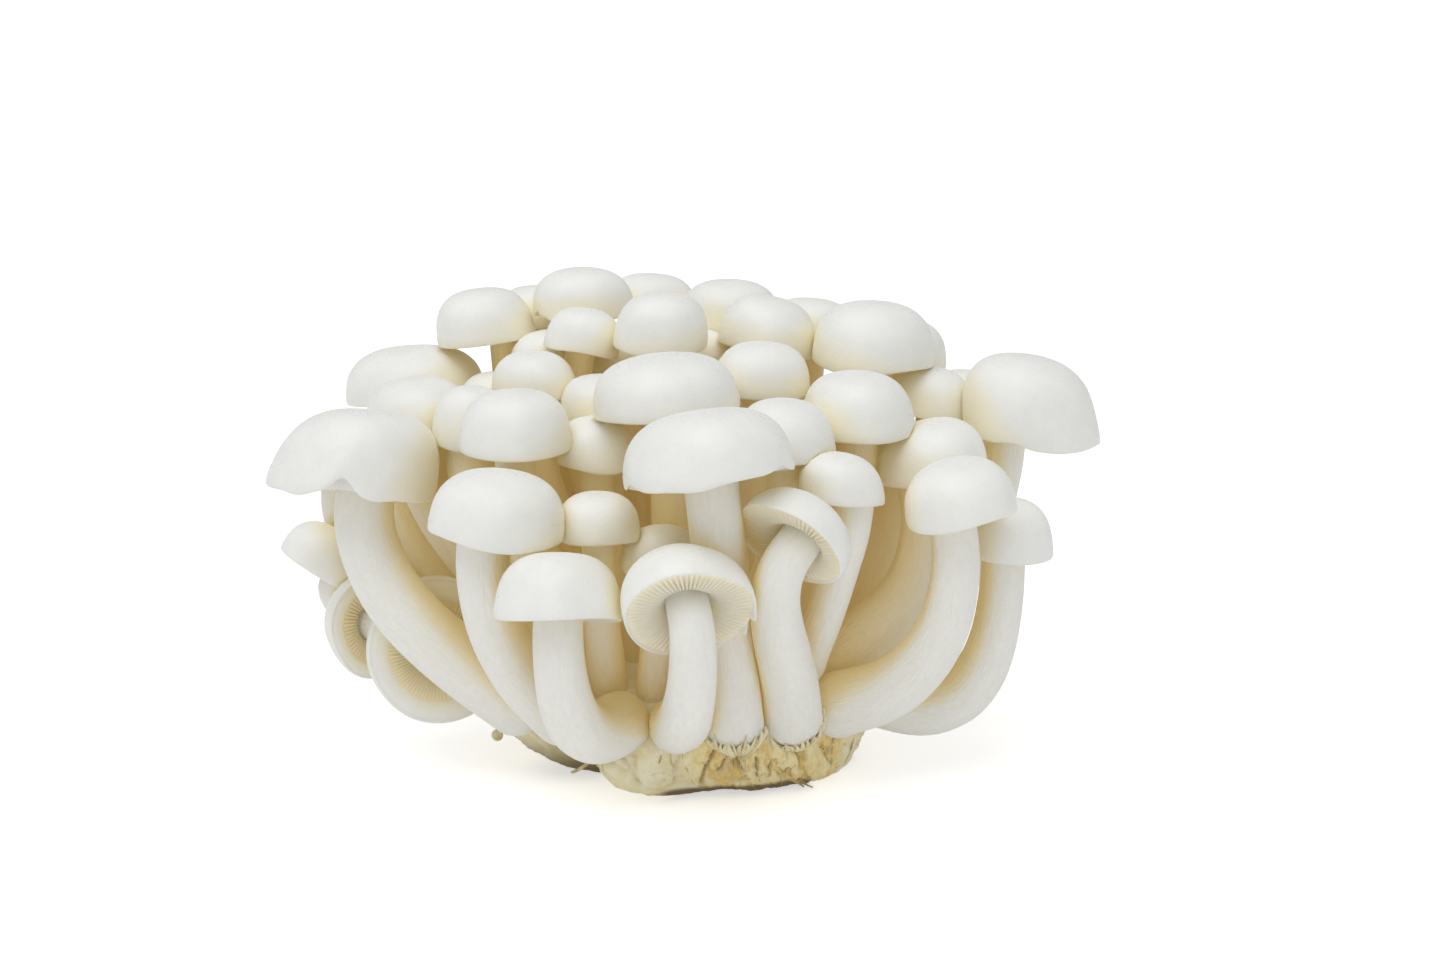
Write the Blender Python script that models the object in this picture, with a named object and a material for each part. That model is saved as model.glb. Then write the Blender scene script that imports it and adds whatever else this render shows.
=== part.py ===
"""A bunch of white beech mushrooms on its root base, standing on a table.

Every mushroom is one solid, cap, gills and stem together, because it grew as one
piece. The root base is the knot of old growing medium that all the stems rise from.
Lengths are in millimetres until they reach Blender, which gets metres.
+X is to the right, +Y to the back, +Z up, with the origin under the root base.
"""
import itertools
import math
from collections import namedtuple

import bpy
import numpy as np
from mathutils import Vector, noise
from mathutils.bvhtree import BVHTree

METRES_PER_MM = 0.001

# Root base: half its width and depth at its widest level, that level's height, and the
# rise of its domed top above it.
BASE_HALF_WIDTH = 34.0
BASE_HALF_DEPTH = 30.0
BASE_WAIST = 13.0
BASE_CROWN = 9.5

# Its flat underside: half sizes, where the middle is and how square it is; how full the
# wall is above it; and the notch at the front left that parts the base into two lobes.
FLAT_HALF = (20.0, 17.5)
FLAT_SHIFT = (8.0, 0.0)
FLAT_SQUARENESS = 0.25
WALL_FULLNESS = 0.4
NOTCH_BEARING = math.radians(226)
NOTCH_WIDTH = 0.2
NOTCH_DEPTH = 0.38
BULGE_BEARING = math.radians(254)
BULGE_WIDTH = 0.18
BULGE_DEPTH = 0.25

# The levels of its wall and the shares of its domed top that get a ring, and its lumps.
BASE_SIDES = 40
WALL_LEVELS = (0.0, 0.04, 0.14, 0.4, 0.7, 1.0)
TOP_SHARES = (0.93, 0.75, 0.5, 0.22)
BASE_LUMP = 1.6
BASE_LUMP_SIZE = 8.0

# Mushrooms: stem thickness from the cap's radius, and how the parts of a cap are shaped.
STEM_RADIUS_LEAST = 1.3
STEM_RADIUS_SHARE = 0.26
FOOT_SWELL = 1.12
NECK_SLIM = 0.9
JOINT_HEIGHT = 0.3
CAP_SQUARENESS = 2.45
RIM_CURL = 0.97
GILL_DROP = 0.02
GILL_RISE = 0.24
GILL_REACH = 0.22
ORIGIN_HEIGHT = 0.35

# Unevenness of a cap: waves round its outline and dips of its rim, as shares.
WAVES = ((2, (0.01, 0.045)), (3, (0.005, 0.025)), (5, (0.0, 0.012)))
DIPS = ((2, (0.0, 0.05)), (3, (0.0, 0.03)))

# Rings over the cap: share of the radius, share of the height, vertices for each gill.
CROWN = ((1.0, 0.26, 2), (0.83, 0.68, 1), (0.48, 0.93, 1))

# Growth: where a foot stands under its cap, and how steeply its stem leaves the base.
FOOT_SHARE = (0.5, 0.58)
STEEPEST_RISE = 84.0
RISE_LOST_OUTWARD = 42.0
OUTER_REACH = 60.0
BOW = 0.42
EDGE_SHARE = 0.985
FOOT_LIFT = 0.35
CLEARANCE = 0.45
SEED = 11

# Crowding: how long neighbours push each other, how often the near ones are looked up,
# and how strongly a cap is drawn back to its place across, in depth and up.
SETTLE_ROUNDS = 360
NEIGHBOUR_ROUNDS = 15
NEIGHBOUR_MARGIN = 3.0
SPRING = np.array([0.16, 0.02, 0.16])

# Parting: the least that pressing leaves of a skin's reach, how far skins that still
# cross draw back at a time, and how near counts as crossing.
LEAST_SHARE = 0.25
DRAW_BACK = 0.93
PARTING_ROUNDS = 60
TOUCH = 0.1

# Fineness of the solids.
STEM_SIDES = 7
STEM_POINTS = 7
GILLS = 10
GILLS_BEHIND = 8
GILLS_SHOWN = 20
CAP_BALLS = 9

Mushroom = namedtuple(
    "Mushroom",
    "rim radius height axis foot rise bow stem seat skew gills pull swell",
    defaults=((0, 0, 1), None, None, BOW, None, (0, 0), (0, 0), GILLS, 1.0, FOOT_SWELL),
)

# The mushrooms that show in the photograph. rim is the middle of the cap's rim, axis the
# way the cap points, foot the place on the base, rise the slope in degrees at the foot and
# bow how long the stem keeps it. seat is how far off the middle the stem meets the cap,
# and skew how far off it the crown stands, both as shares of the radius. swell is how much
# thicker the stem is at its foot.
SEEN = (
    Mushroom((-36.5, 25, 73.5), 9.2, 9.7, (-0.1, 0.05, 1), foot=(-12, 14), seat=(0.4, 0)),
    Mushroom((-18.5, 27, 78), 9.3, 8.8, (-0.05, 0, 1)),
    Mushroom((-6, 40, 75), 8.8, 8.5, (0.05, 0.1, 1)),
    Mushroom((-18.5, 12, 74), 6.7, 7.4, (0.16, 0, 1)),
    Mushroom((-4, 6, 75.3), 8.6, 10.2, (0.04, 0, 1)),
    Mushroom((9.5, 33, 74.4), 9.6, 9.0, (0.0, 0.05, 1)),
    Mushroom((15.5, 15, 73.5), 9.2, 9.5, (0.2, 0, 1)),
    Mushroom((14, -2, 68.6), 8.4, 9.0, (0.05, 0, 1)),
    Mushroom((-26.5, 6, 66.6), 7.7, 8.0, (0.0, 0, 1)),
    Mushroom((-14.5, -1, 64), 7.4, 7.8, (0.0, 0, 1)),
    Mushroom((-2.3, -16, 67.7), 12.5, 10.2, (-0.09, 0.02, 1)),
    Mushroom((22.5, 32, 73), 8.2, 8.0, (0.08, 0.1, 1)),
    Mushroom((34.5, 12, 71.6), 11.0, 11.2, (0.04, 0, 1)),
    Mushroom((40.5, 28, 68.3), 9.0, 9.0, (0.15, 0.1, 1)),
    Mushroom((45.8, 9, 62.6), 7.0, 8.2, (0.08, 0, 1)),
    Mushroom((31.3, -12, 62.7), 10.3, 10.8, (0.0, 0, 1)),
    Mushroom((62.9, 6, 59.4), 12.5, 14.6, (0.08, 0, 1), seat=(-0.4, 0), skew=(-0.3, 0)),
    Mushroom(
        (44.5, -10, 55.5),
        9.9,
        9.4,
        (-0.22, 0, 1),
        foot=(29, -8),
        rise=30,
        bow=0.46,
        stem=5.0,
        seat=(-0.25, 0),
    ),
    Mushroom(
        (48.5, -25, 52.2),
        10,
        9.6,
        (-0.16, -0.03, 1),
        foot=(27.5, -18.5),
        rise=22,
        bow=0.44,
        stem=4.5,
        seat=(-0.2, 0),
        swell=1.35,
    ),
    Mushroom(
        (57.9, -14, 41.7),
        8.1,
        10.1,
        (0.03, 0, 1),
        foot=(33, -9),
        rise=-18,
        bow=0.56,
        stem=4.3,
        seat=(-0.1, 0),
        swell=1.45,
    ),
    Mushroom((18.5, -22, 61.4), 8.9, 9.8, (0.0, 0, 1), foot=(9, -15)),
    Mushroom(
        (5.5, -37, 61.0),
        14.2,
        12.0,
        (-0.13, 0.16, 1),
        foot=(9.2, -27.4),
        rise=80,
        stem=5.2,
        swell=1.0,
    ),
    Mushroom(
        (27.8, -29, 55.4),
        7.4,
        7.6,
        (0.12, 0.02, 1),
        foot=(26, -14),
        stem=3.8,
        seat=(0.3, 0),
        skew=(-0.2, 0),
    ),
    Mushroom(
        (18.5, -45, 50.6),
        9.8,
        8.5,
        (0.52, 0.66, 0.62),
        foot=(23.5, -24),
        rise=66,
        stem=4.2,
        seat=(0.12, 0),
        gills=GILLS_SHOWN,
        swell=1.35,
    ),
    Mushroom((-14.8, -15, 58.2), 7.2, 8.4, (0.0, 0, 1)),
    Mushroom((-29, -15, 61.8), 9.8, 10.4, (0.02, 0, 1)),
    Mushroom((-37.6, -7, 60.8), 6.9, 10.0, (0.02, 0, 1), stem=4.8),
    Mushroom((-47.6, 0, 60), 9.8, 10.2, (-0.05, 0, 1), stem=5.0),
    Mushroom((-49.8, 24, 62), 13.0, 10.2, (-0.03, 0.05, 1), stem=5.0),
    Mushroom(
        (-58.2, -14, 53.5),
        14.8,
        15.0,
        (0.1, 0.2, 1),
        foot=(-29, -13),
        rise=34,
        stem=5.7,
        seat=(0.2, 0),
        skew=(0.15, 0),
    ),
    Mushroom(
        (-31.3, -36, 50.2), 11.4, 11.1, (0.1, 0, 1), foot=(-20, -22), rise=38, stem=5.1, seat=(-0.15, 0)
    ),
    Mushroom((-14.2, -31, 48.6), 7.2, 7.8, (0.0, 0, 1), foot=(-13, -20)),
    Mushroom((-3.5, -29, 43), 6.6, 7.2, (0.0, 0, 1), foot=(-5, -22)),
    Mushroom(
        (-20.2, -48, 38.5),
        10.6,
        11.2,
        (0.02, 0.25, 1),
        foot=(-11, -29),
        rise=-6,
        bow=0.5,
        stem=4.7,
        swell=1.2,
    ),
    Mushroom(
        (1.8, -52, 40.6),
        11.0,
        10.4,
        (-0.15, 0.8, 0.6),
        foot=(-2, -30),
        rise=10,
        stem=4.1,
        gills=GILLS_SHOWN,
        swell=1.25,
    ),
    Mushroom((-65.6, 9, 34.2), 8.3, 8.0, (0.6, 0.1, 1), foot=(-31, 15), rise=4, bow=0.3, seat=(0.5, 0.2)),
    Mushroom(
        (-55.2, 3, 26.0), 10.3, 8.0, (-0.6, 0.8, -0.05), foot=(-33, 4), rise=4, gills=GILLS_SHOWN
    ),
    Mushroom(
        (-43.0, -5, 23.0),
        13.0,
        8.6,
        (-0.34, 0.92, -0.16),
        foot=(-30, -9),
        rise=0,
        bow=0.4,
        stem=3.8,
        gills=GILLS_SHOWN,
    ),
)

# Caps that fill the gaps between the tall ones, behind what the photograph shows.
BETWEEN = (
    Mushroom((-24, 20, 69), 7.4, 7.2, gills=GILLS_BEHIND, pull=0.5, stem=4.4),
    Mushroom((-34, 12, 63), 6.8, 6.6, gills=GILLS_BEHIND, pull=0.5, stem=4.4),
    Mushroom((-11, 23, 68.5), 7.0, 6.8, gills=GILLS_BEHIND, pull=0.5, stem=4.4),
    Mushroom((3, 21, 69), 6.6, 7.0, gills=GILLS_BEHIND, pull=0.5, stem=4.4),
    Mushroom((26, 3, 60), 6.8, 6.6, gills=GILLS_BEHIND, pull=0.5, stem=4.4),
    Mushroom((38, 4, 56), 6.6, 6.4, foot=(24, 2), gills=GILLS_BEHIND, pull=0.5, stem=4.6),
    Mushroom((9, 47, 68.5), 8.6, 8.2, (0.0, 0.14, 1), gills=GILLS_BEHIND, pull=0.5),
    Mushroom((-28.5, 42, 73), 8.4, 8.2, (-0.05, 0.14, 1), gills=GILLS_BEHIND, pull=0.7),
    Mushroom((53.5, 24, 59.5), 8.4, 8.4, (0.12, 0.1, 1), gills=GILLS_BEHIND, pull=0.7),
    Mushroom((-52, 9, 53.5), 7.0, 7.0, foot=(-28, 2), rise=34, gills=GILLS_BEHIND, pull=0.7, stem=5.2),
    Mushroom((-62, 12, 49), 7.4, 7.4, foot=(-30, 13), rise=24, gills=GILLS_BEHIND, pull=0.7, stem=4.6),
)

# The far side, which the photograph hides: rows of caps round the back, as shares of the
# bunch's reach, with the height of their rims and how many stand in each row.
Row = namedtuple("Row", "height reach count first_bearing last_bearing")
BACK_ROWS = (
    Row(55, (61, 48), 3, 48, 132),
    Row(41, (60, 50), 5, 18, 162),
    Row(27, (51, 44), 2, 40, 140),
)
BACK_RADII = (8.2, 11.2)
BACK_TALLNESS = (0.86, 1.05)
BACK_JITTER = 2.2


def unit(vector):
    vector = np.asarray(vector, float)
    return vector / np.linalg.norm(vector, axis=-1, keepdims=True)


def far_side(draw):
    """The mushrooms behind, laid out row by row with a little seeded irregularity."""
    found = []
    for number, row in enumerate(BACK_ROWS):
        for k in range(row.count):
            share = (k + 0.5) / row.count
            bearing = math.radians(row.first_bearing + share * (row.last_bearing - row.first_bearing))
            radius = draw.uniform(*BACK_RADII) * (1 - 0.08 * number)
            rim = np.array([row.reach[0] * math.cos(bearing), row.reach[1] * math.sin(bearing), row.height])
            lean = (0.16 * math.cos(bearing), 0.16 * math.sin(bearing), 1)
            found.append(
                Mushroom(
                    tuple(rim + draw.uniform(-BACK_JITTER, BACK_JITTER, 3)),
                    radius,
                    radius * draw.uniform(*BACK_TALLNESS),
                    lean,
                    gills=GILLS_BEHIND,
                    pull=0.3,
                )
            )
    return found


def base_top(x, y):
    """The point just over the base's top at (x, y) where a foot rests, and the way the
    base faces there."""
    share = math.hypot(x / BASE_HALF_WIDTH, y / BASE_HALF_DEPTH)
    if share > EDGE_SHARE:
        x, y = x * EDGE_SHARE / share, y * EDGE_SHARE / share
        share = EDGE_SHARE
    rise = BASE_CROWN * math.sqrt(1 - share**2)
    facing = unit((x / BASE_HALF_WIDTH**2, y / BASE_HALF_DEPTH**2, rise / BASE_CROWN**2))
    return np.array([x, y, BASE_WAIST + rise]) + FOOT_LIFT * facing, facing


def base_distance(points):
    """About how far points are outside the base's dome and the upright wall under it."""
    radii = np.array([BASE_HALF_WIDTH, BASE_HALF_DEPTH, BASE_CROWN])
    away = points - (0, 0, BASE_WAIST)
    away[:, 2] = np.maximum(away[:, 2], 0)
    share = np.linalg.norm(away / radii, axis=1) + 1e-9
    return (share - 1) * share / np.linalg.norm(away / radii**2 + 1e-9, axis=1)


def bezier(points, steps):
    t = np.linspace(0, 1, steps)[:, None]
    a, b, c, d = (np.asarray(p, float) for p in points)
    return (1 - t) ** 3 * a + 3 * t * (1 - t) ** 2 * b + 3 * t**2 * (1 - t) * c + t**3 * d


class Plant:
    """One mushroom as it is laid out: its stem's line, its cap's frame and its uneven rim."""

    def __init__(self, wish, draw):
        self.wish = wish
        self.radius, self.height = wish.radius, wish.height
        self.axis = unit(wish.axis)
        side = unit(np.cross((0, 1, 0), self.axis))
        self.sides = side, np.cross(self.axis, side)
        self.rim = np.array(wish.rim, float)
        self.waves = [(n, draw.uniform(*span), draw.uniform(0, 2 * math.pi)) for n, span in WAVES]
        self.dips = [(n, draw.uniform(*span), draw.uniform(0, 2 * math.pi)) for n, span in DIPS]
        self.skew = np.array(wish.skew) + draw.uniform(-0.07, 0.07, 2)
        self.stem = wish.stem or STEM_RADIUS_LEAST + STEM_RADIUS_SHARE * self.radius
        self.line = self.first_line()
        self.bend = self.line[1:-1] - (self.line[:-2] + self.line[2:]) / 2
        self.thickness = self.stem * stem_profile(np.linspace(0, 1, STEM_POINTS), wish.swell)

    def first_line(self):
        wish = self.wish
        foot = wish.foot or (wish.rim[0] * FOOT_SHARE[0], wish.rim[1] * FOOT_SHARE[1])
        start, _ = base_top(*foot)
        joint = self.rim + self.reach_up(*wish.seat, JOINT_HEIGHT)
        out = math.hypot(wish.rim[0], wish.rim[1]) / OUTER_REACH
        rise = math.radians(STEEPEST_RISE - RISE_LOST_OUTWARD * out if wish.rise is None else wish.rise)
        level = unit((joint - start)[:2])
        leave = np.array([*(level * math.cos(rise)), math.sin(rise)])
        bow = wish.bow * np.linalg.norm(joint - start)
        return bezier((start, start + bow * leave, joint - bow * self.axis, joint), STEM_POINTS)

    def reach_up(self, across, deep, up):
        """From the middle of the rim: across and deep in radii, and up in cap heights."""
        flat = self.radius * (across * self.sides[0] + deep * self.sides[1])
        return flat + up * self.height * self.axis

    def wave(self, waves, angle):
        return sum(size * np.cos(n * angle + phase) for n, size, phase in waves)

    def cap_balls(self):
        """Balls that fill the cap, for feeling where it meets its neighbours."""
        small = 0.42 * min(self.radius, self.height)
        around = np.arange(CAP_BALLS - 1) * 2 * math.pi / (CAP_BALLS - 1)
        u, v = self.sides
        ring = (self.radius - small) * (np.cos(around)[:, None] * u + np.sin(around)[:, None] * v)
        middle = 0.62 * min(self.radius, self.height)
        places = np.vstack([ring + 0.36 * self.height * self.axis, (self.height - middle) * self.axis])
        return places, np.append(np.full(CAP_BALLS - 1, small), middle)

    def field(self, points):
        """About how far each point is outside the mushroom, negative inside."""
        start, end = self.line[:-1], self.line[1:]
        along = end - start
        away = points[:, None] - start
        t = np.clip((away * along).sum(2) / (along**2).sum(1), 0, 1)
        thick = self.thickness[:-1] + t * (self.thickness[1:] - self.thickness[:-1])
        stem = (np.linalg.norm(away - t[..., None] * along, axis=2) - thick).min(1)
        return np.minimum(stem, self.cap_field(points))

    def cap_field(self, points):
        away = points - self.rim
        up = away @ self.axis
        u, v = self.sides
        across, deep = away @ u, away @ v
        climb = np.clip(up / self.height, 0, 1)[:, None] * self.radius * self.skew
        across, deep = across - climb[:, 0], deep - climb[:, 1]
        angle = np.arctan2(deep, across)
        reach = self.radius * (1 + self.wave(self.waves, angle))
        lift = np.maximum(up - self.height * self.wave(self.dips, angle), 0)
        power = CAP_SQUARENESS
        share = ((np.hypot(across, deep) / reach) ** power + (lift / self.height) ** power) ** (1 / power)
        dome = (share - 1) * min(self.radius, self.height)
        return np.maximum(dome, self.height * (self.wave(self.dips, angle) - GILL_DROP) - up)


def stem_profile(t, swell):
    """Thickness along the stem as a share: swollen at the foot, slim at the neck."""
    return NECK_SLIM + (swell - NECK_SLIM) * (1 - t) ** 1.5


def settle(plants):
    """Neighbours push each other aside until they clear. A cap that the photograph shows
    keeps its place across and up, and gives way in depth."""
    count, points = len(plants), STEM_POINTS
    lines = np.array([p.line for p in plants])
    bends = np.array([p.bend for p in plants])
    rims = np.array([p.rim for p in plants])
    homes = rims.copy()
    roots = lines[:, 0].copy()
    axes = np.array([p.axis for p in plants])
    joints = np.array([p.reach_up(*p.wish.seat, JOINT_HEIGHT) for p in plants])
    necks = np.linalg.norm(lines[:, -1] - lines[:, -2], axis=1)[:, None] * axes
    pulls = np.array([p.wish.pull for p in plants])[:, None] * SPRING
    balls = [p.cap_balls() for p in plants]
    offsets = np.array([b[0] for b in balls])
    size = np.concatenate([np.ravel([p.thickness for p in plants]), np.ravel([b[1] for b in balls])])
    owner = np.concatenate([np.repeat(np.arange(count), points), np.repeat(np.arange(count), CAP_BALLS)])
    for step in range(SETTLE_ROUNDS):
        where = np.vstack([lines.reshape(-1, 3), (rims[:, None] + offsets).reshape(-1, 3)])
        if step % NEIGHBOUR_ROUNDS == 0:
            one, other = neighbours(where, size, owner)
        push = shove(where, size, one, other)
        cap_push = push[count * points :].reshape(count, CAP_BALLS, 3)
        lines += push[: count * points].reshape(count, points, 3)
        lines[:, 1:-1] += 0.35 * ((lines[:, :-2] + lines[:, 2:]) / 2 + bends - lines[:, 1:-1])
        rims += cap_push.sum(1) / np.maximum((np.abs(cap_push).sum(2) > 0).sum(1), 1)[:, None]
        rims += 0.3 * (lines[:, -1] - joints - rims) + pulls * (homes - rims)
        lines[:, -1] = rims + joints
        lines[:, -2] += 0.5 * (lines[:, -1] - necks - lines[:, -2])
        lines[:, 0] += 0.1 * (roots - lines[:, 0])
        for line, plant in zip(lines, plants):
            line[0], _ = base_top(*line[0][:2])
            keep_off_base(line, plant.thickness)
    for plant, line, rim in zip(plants, lines, rims):
        plant.line, plant.rim = line, rim


def neighbours(where, size, owner):
    """The pairs of balls of different mushrooms that are near enough to touch soon."""
    square = (where**2).sum(1)
    far = np.maximum(square[:, None] + square[None] - 2 * where @ where.T, 0)
    reach = size[:, None] + size[None] + CLEARANCE + NEIGHBOUR_MARGIN
    return np.nonzero(np.triu((far < reach**2) & (owner[:, None] != owner[None])))


def shove(where, size, one, other):
    """How far each ball is pushed away from those that it overlaps."""
    gap = where[one] - where[other]
    far = np.linalg.norm(gap, axis=1) + 1e-9
    press = np.maximum(size[one] + size[other] + CLEARANCE - far, 0)
    step = gap * (0.55 * press / far)[:, None]
    both, count = np.concatenate([one, other]), len(where)
    touching = np.bincount(both, np.tile(press > 0, 2), count)
    moves = np.concatenate([step, -step])
    total = np.stack([np.bincount(both, moves[:, k], count) for k in range(3)], axis=1)
    return total / np.sqrt(np.maximum(touching, 1))[:, None]


def keep_off_base(line, thickness):
    """Stems past their foot stay outside the base and above the table."""
    radii = np.array([BASE_HALF_WIDTH, BASE_HALF_DEPTH, BASE_CROWN])
    middle = np.array([0, 0, BASE_WAIST])
    for k in range(1, len(line)):
        away = line[k] - middle
        grown = radii + thickness[k]
        inside = np.linalg.norm(away / grown)
        if inside < 1:
            line[k] = middle + away / max(inside, 0.3)
        line[k][2] = max(line[k][2], thickness[k] + 1.5)


def grow_bunch():
    """Every mushroom of the bunch, settled among its neighbours."""
    draw = np.random.default_rng(SEED)
    plants = [Plant(wish, draw) for wish in (*SEEN, *BETWEEN, *far_side(draw))]
    settle(plants)
    return plants


def ring(centre, u, v, radius, count):
    angle = np.arange(count) * 2 * math.pi / count
    return centre + radius * (np.cos(angle)[:, None] * u + np.sin(angle)[:, None] * v)


def cap_ring(plant, count, share, height, lift=0.0, middle=(0, 0)):
    """A ring of the cap: share of the radius and of the height, with lift round it."""
    angle = np.arange(count) * 2 * math.pi / count
    reach = plant.radius * share * (1 + plant.wave(plant.waves, angle))
    up = plant.height * (height + lift + (1 - height) * share**2 * plant.wave(plant.dips, angle))
    u, v = plant.sides
    across = reach * np.cos(angle) + plant.radius * middle[0]
    deep = reach * np.sin(angle) + plant.radius * middle[1]
    return plant.rim + across[:, None] * u + deep[:, None] * v + up[:, None] * plant.axis


def stem_frames(plant):
    """Two directions across the stem at each of its points, turned as little as possible."""
    line = plant.line
    tangents = unit(np.gradient(line, axis=0))
    tangents[-1] = plant.axis
    tangents[0] = base_top(*line[0][:2])[1]
    frames = []
    u = plant.sides[0]
    for tangent in tangents[::-1]:
        u = unit(u - (u @ tangent) * tangent)
        frames.append((u, np.cross(tangent, u)))
    return frames[::-1]


def skin(plant):
    """Rings of the mushroom's skin from the foot up the stem, out along the gills, round
    the rim and over the crown, each with the inner point that it is pressed towards."""
    rings, inner = [], []
    for centre, thick, (u, v) in zip(plant.line, plant.thickness, stem_frames(plant)):
        rings.append(ring(centre, u, v, thick, STEM_SIDES))
        inner.append(centre)
    heart = plant.rim + ORIGIN_HEIGHT * plant.height * plant.axis
    around = 2 * plant.wish.gills
    blades = np.where(np.arange(around) % 2, GILL_RISE, -GILL_DROP)
    neck = plant.thickness[-1] / plant.radius
    seat = np.array(plant.wish.seat)
    rings[-1] = cap_ring(plant, STEM_SIDES, neck, JOINT_HEIGHT, middle=seat)
    out = neck + GILL_REACH * (1 - neck)
    rings.append(cap_ring(plant, around, out, 0.05, blades, middle=seat * (1 - GILL_REACH)))
    rings.append(cap_ring(plant, around, RIM_CURL, 0.0))
    for share, height, sides in CROWN:
        count = around if sides == 2 else plant.wish.gills
        rings.append(cap_ring(plant, count, share, height, middle=height * plant.skew))
    inner += [heart] * (len(rings) - len(inner))
    return rings, inner


def press(plant, plants, rings, inner):
    """Where a mushroom meets a neighbour its skin is pressed in, so that the two share a
    flat seam with a clearance between them."""
    outer = np.vstack(rings)
    hearts = np.vstack([np.broadcast_to(h, r.shape) for r, h in zip(rings, inner)])
    near = [p for p in plants if p is not plant and nearness(plant, p) < 0]

    def crowded(where):
        gap = np.min([p.field(where) for p in near], axis=0) - plant.field(where)
        return (gap < CLEARANCE) | (base_distance(where) < FOOT_LIFT - 0.01)

    tight = np.nonzero(crowded(outer))[0]
    if len(tight):
        heart, reach = hearts[tight], outer[tight] - hearts[tight]
        low, high = np.full(len(tight), LEAST_SHARE), np.ones(len(tight))
        for _ in range(8):
            share = (low + high) / 2
            crowd = crowded(heart + share[:, None] * reach)
            low, high = np.where(crowd, low, share), np.where(crowd, share, high)
        outer[tight] = heart + low[:, None] * reach
    return np.split(outer, np.cumsum([len(r) for r in rings])[:-1])


def nearness(one, other):
    """Negative where the boxes round two mushrooms, with their clearance, overlap."""
    boxes = []
    for plant in (one, other):
        reach, thick = plant.radius * 1.3, plant.thickness.max()
        around = np.vstack([plant.rim + reach, plant.rim - reach, plant.line + thick, plant.line - thick])
        boxes.append((around.min(0), around.max(0)))
    (low, high), (other_low, other_high) = boxes
    return max((low - other_high).max(), (other_low - high).max())


def bridge(lower, upper):
    """Triangles between two rings of vertex numbers, whose counts may differ."""
    found = []
    a, b = len(lower), len(upper)
    i = j = 0
    while i < a or j < b:
        if j * a <= i * b and j < b:
            found.append((lower[i % a], upper[(j + 1) % b], upper[j % b]))
            j += 1
        else:
            found.append((lower[i % a], lower[(i + 1) % a], upper[j % b]))
            i += 1
    return found


def fan(ring_numbers, point, upward):
    turned = ring_numbers[1:] + ring_numbers[:1]
    pairs = zip(ring_numbers, turned) if upward else zip(turned, ring_numbers)
    return [(one, two, point) for one, two in pairs]


class Shell:
    """A closed skin of triangles, with the inner point that each vertex may draw back to."""

    def __init__(self, name, rings, inner, last, floor=None):
        counts = [len(r) for r in rings]
        starts = np.cumsum([0, *counts])
        numbers = [list(range(a, a + n)) for a, n in zip(starts, counts)]
        base = rings[0].mean(0) if floor is None else floor
        self.name = name
        self.points = np.vstack([*rings, base, last])
        skins = [*rings, base[None], last[None]]
        self.hearts = np.vstack([np.broadcast_to(heart, part.shape) for part, heart in zip(skins, inner)])
        self.faces = [face for lower, upper in zip(numbers, numbers[1:]) for face in bridge(lower, upper)]
        self.faces += fan(numbers[0], int(starts[-1]), upward=False)
        self.faces += fan(numbers[-1], int(starts[-1]) + 1, upward=True)

    def tree(self):
        return BVHTree.FromPolygons([Vector(p) for p in self.points], self.faces, epsilon=TOUCH)

    def draw_back(self, faces):
        """The vertices of these faces move a little way in."""
        which = np.unique([self.faces[f] for f in faces])
        self.points[which] = self.hearts[which] + DRAW_BACK * (self.points[which] - self.hearts[which])


def part_company(shells, fixed):
    """Where flat triangles still cross between two skins, both draw back until none do."""
    moved = set(range(len(shells)))
    trees = {}
    for _ in range(PARTING_ROUNDS):
        for k in moved:
            trees[k] = shells[k].tree()
        boxes = [(s.points.min(0), s.points.max(0)) for s in shells]
        crossed = {}
        for i, j in itertools.combinations(range(len(shells)), 2):
            apart = max((boxes[i][0] - boxes[j][1]).max(), (boxes[j][0] - boxes[i][1]).max())
            if apart < 0 and (i in moved or j in moved):
                for one, two in trees[i].overlap(trees[j]):
                    crossed.setdefault(i, set()).add(one)
                    crossed.setdefault(j, set()).add(two)
        for k in moved:
            for one, _ in trees[k].overlap(fixed):
                crossed.setdefault(k, set()).add(one)
        if not crossed:
            return
        for k, faces in crossed.items():
            shells[k].draw_back(sorted(faces))
        moved = set(crossed)


def make_object(shell, material, collection):
    """The shell as an object that stands where its mushroom has its foot."""
    stand = shell.hearts[0] if shell.name.startswith("mushroom") else np.zeros(3)
    mesh = bpy.data.meshes.new(shell.name)
    mesh.from_pydata(((shell.points - stand) * METRES_PER_MM).tolist(), [], shell.faces)
    mesh.materials.append(material)
    mesh.shade_smooth()
    mesh.set_sharp_from_angle(angle=math.radians(40))
    mesh.validate()
    made = bpy.data.objects.new(shell.name, mesh)
    made.location = stand * METRES_PER_MM
    collection.objects.link(made)
    return made


def mushroom_shell(name, plant, plants):
    """A lofted skin through the rings, closed by a point at the foot and at the crown."""
    rings, inner = skin(plant)
    rings = press(plant, plants, rings, inner)
    peak = plant.rim + plant.reach_up(*plant.skew, 1)
    return Shell(name, rings, [*inner, inner[0], inner[-1]], peak)


def turned(bearing, other):
    """The angle from one bearing to another, the short way round."""
    return (bearing - other + math.pi) % (2 * math.pi) - math.pi


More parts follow.
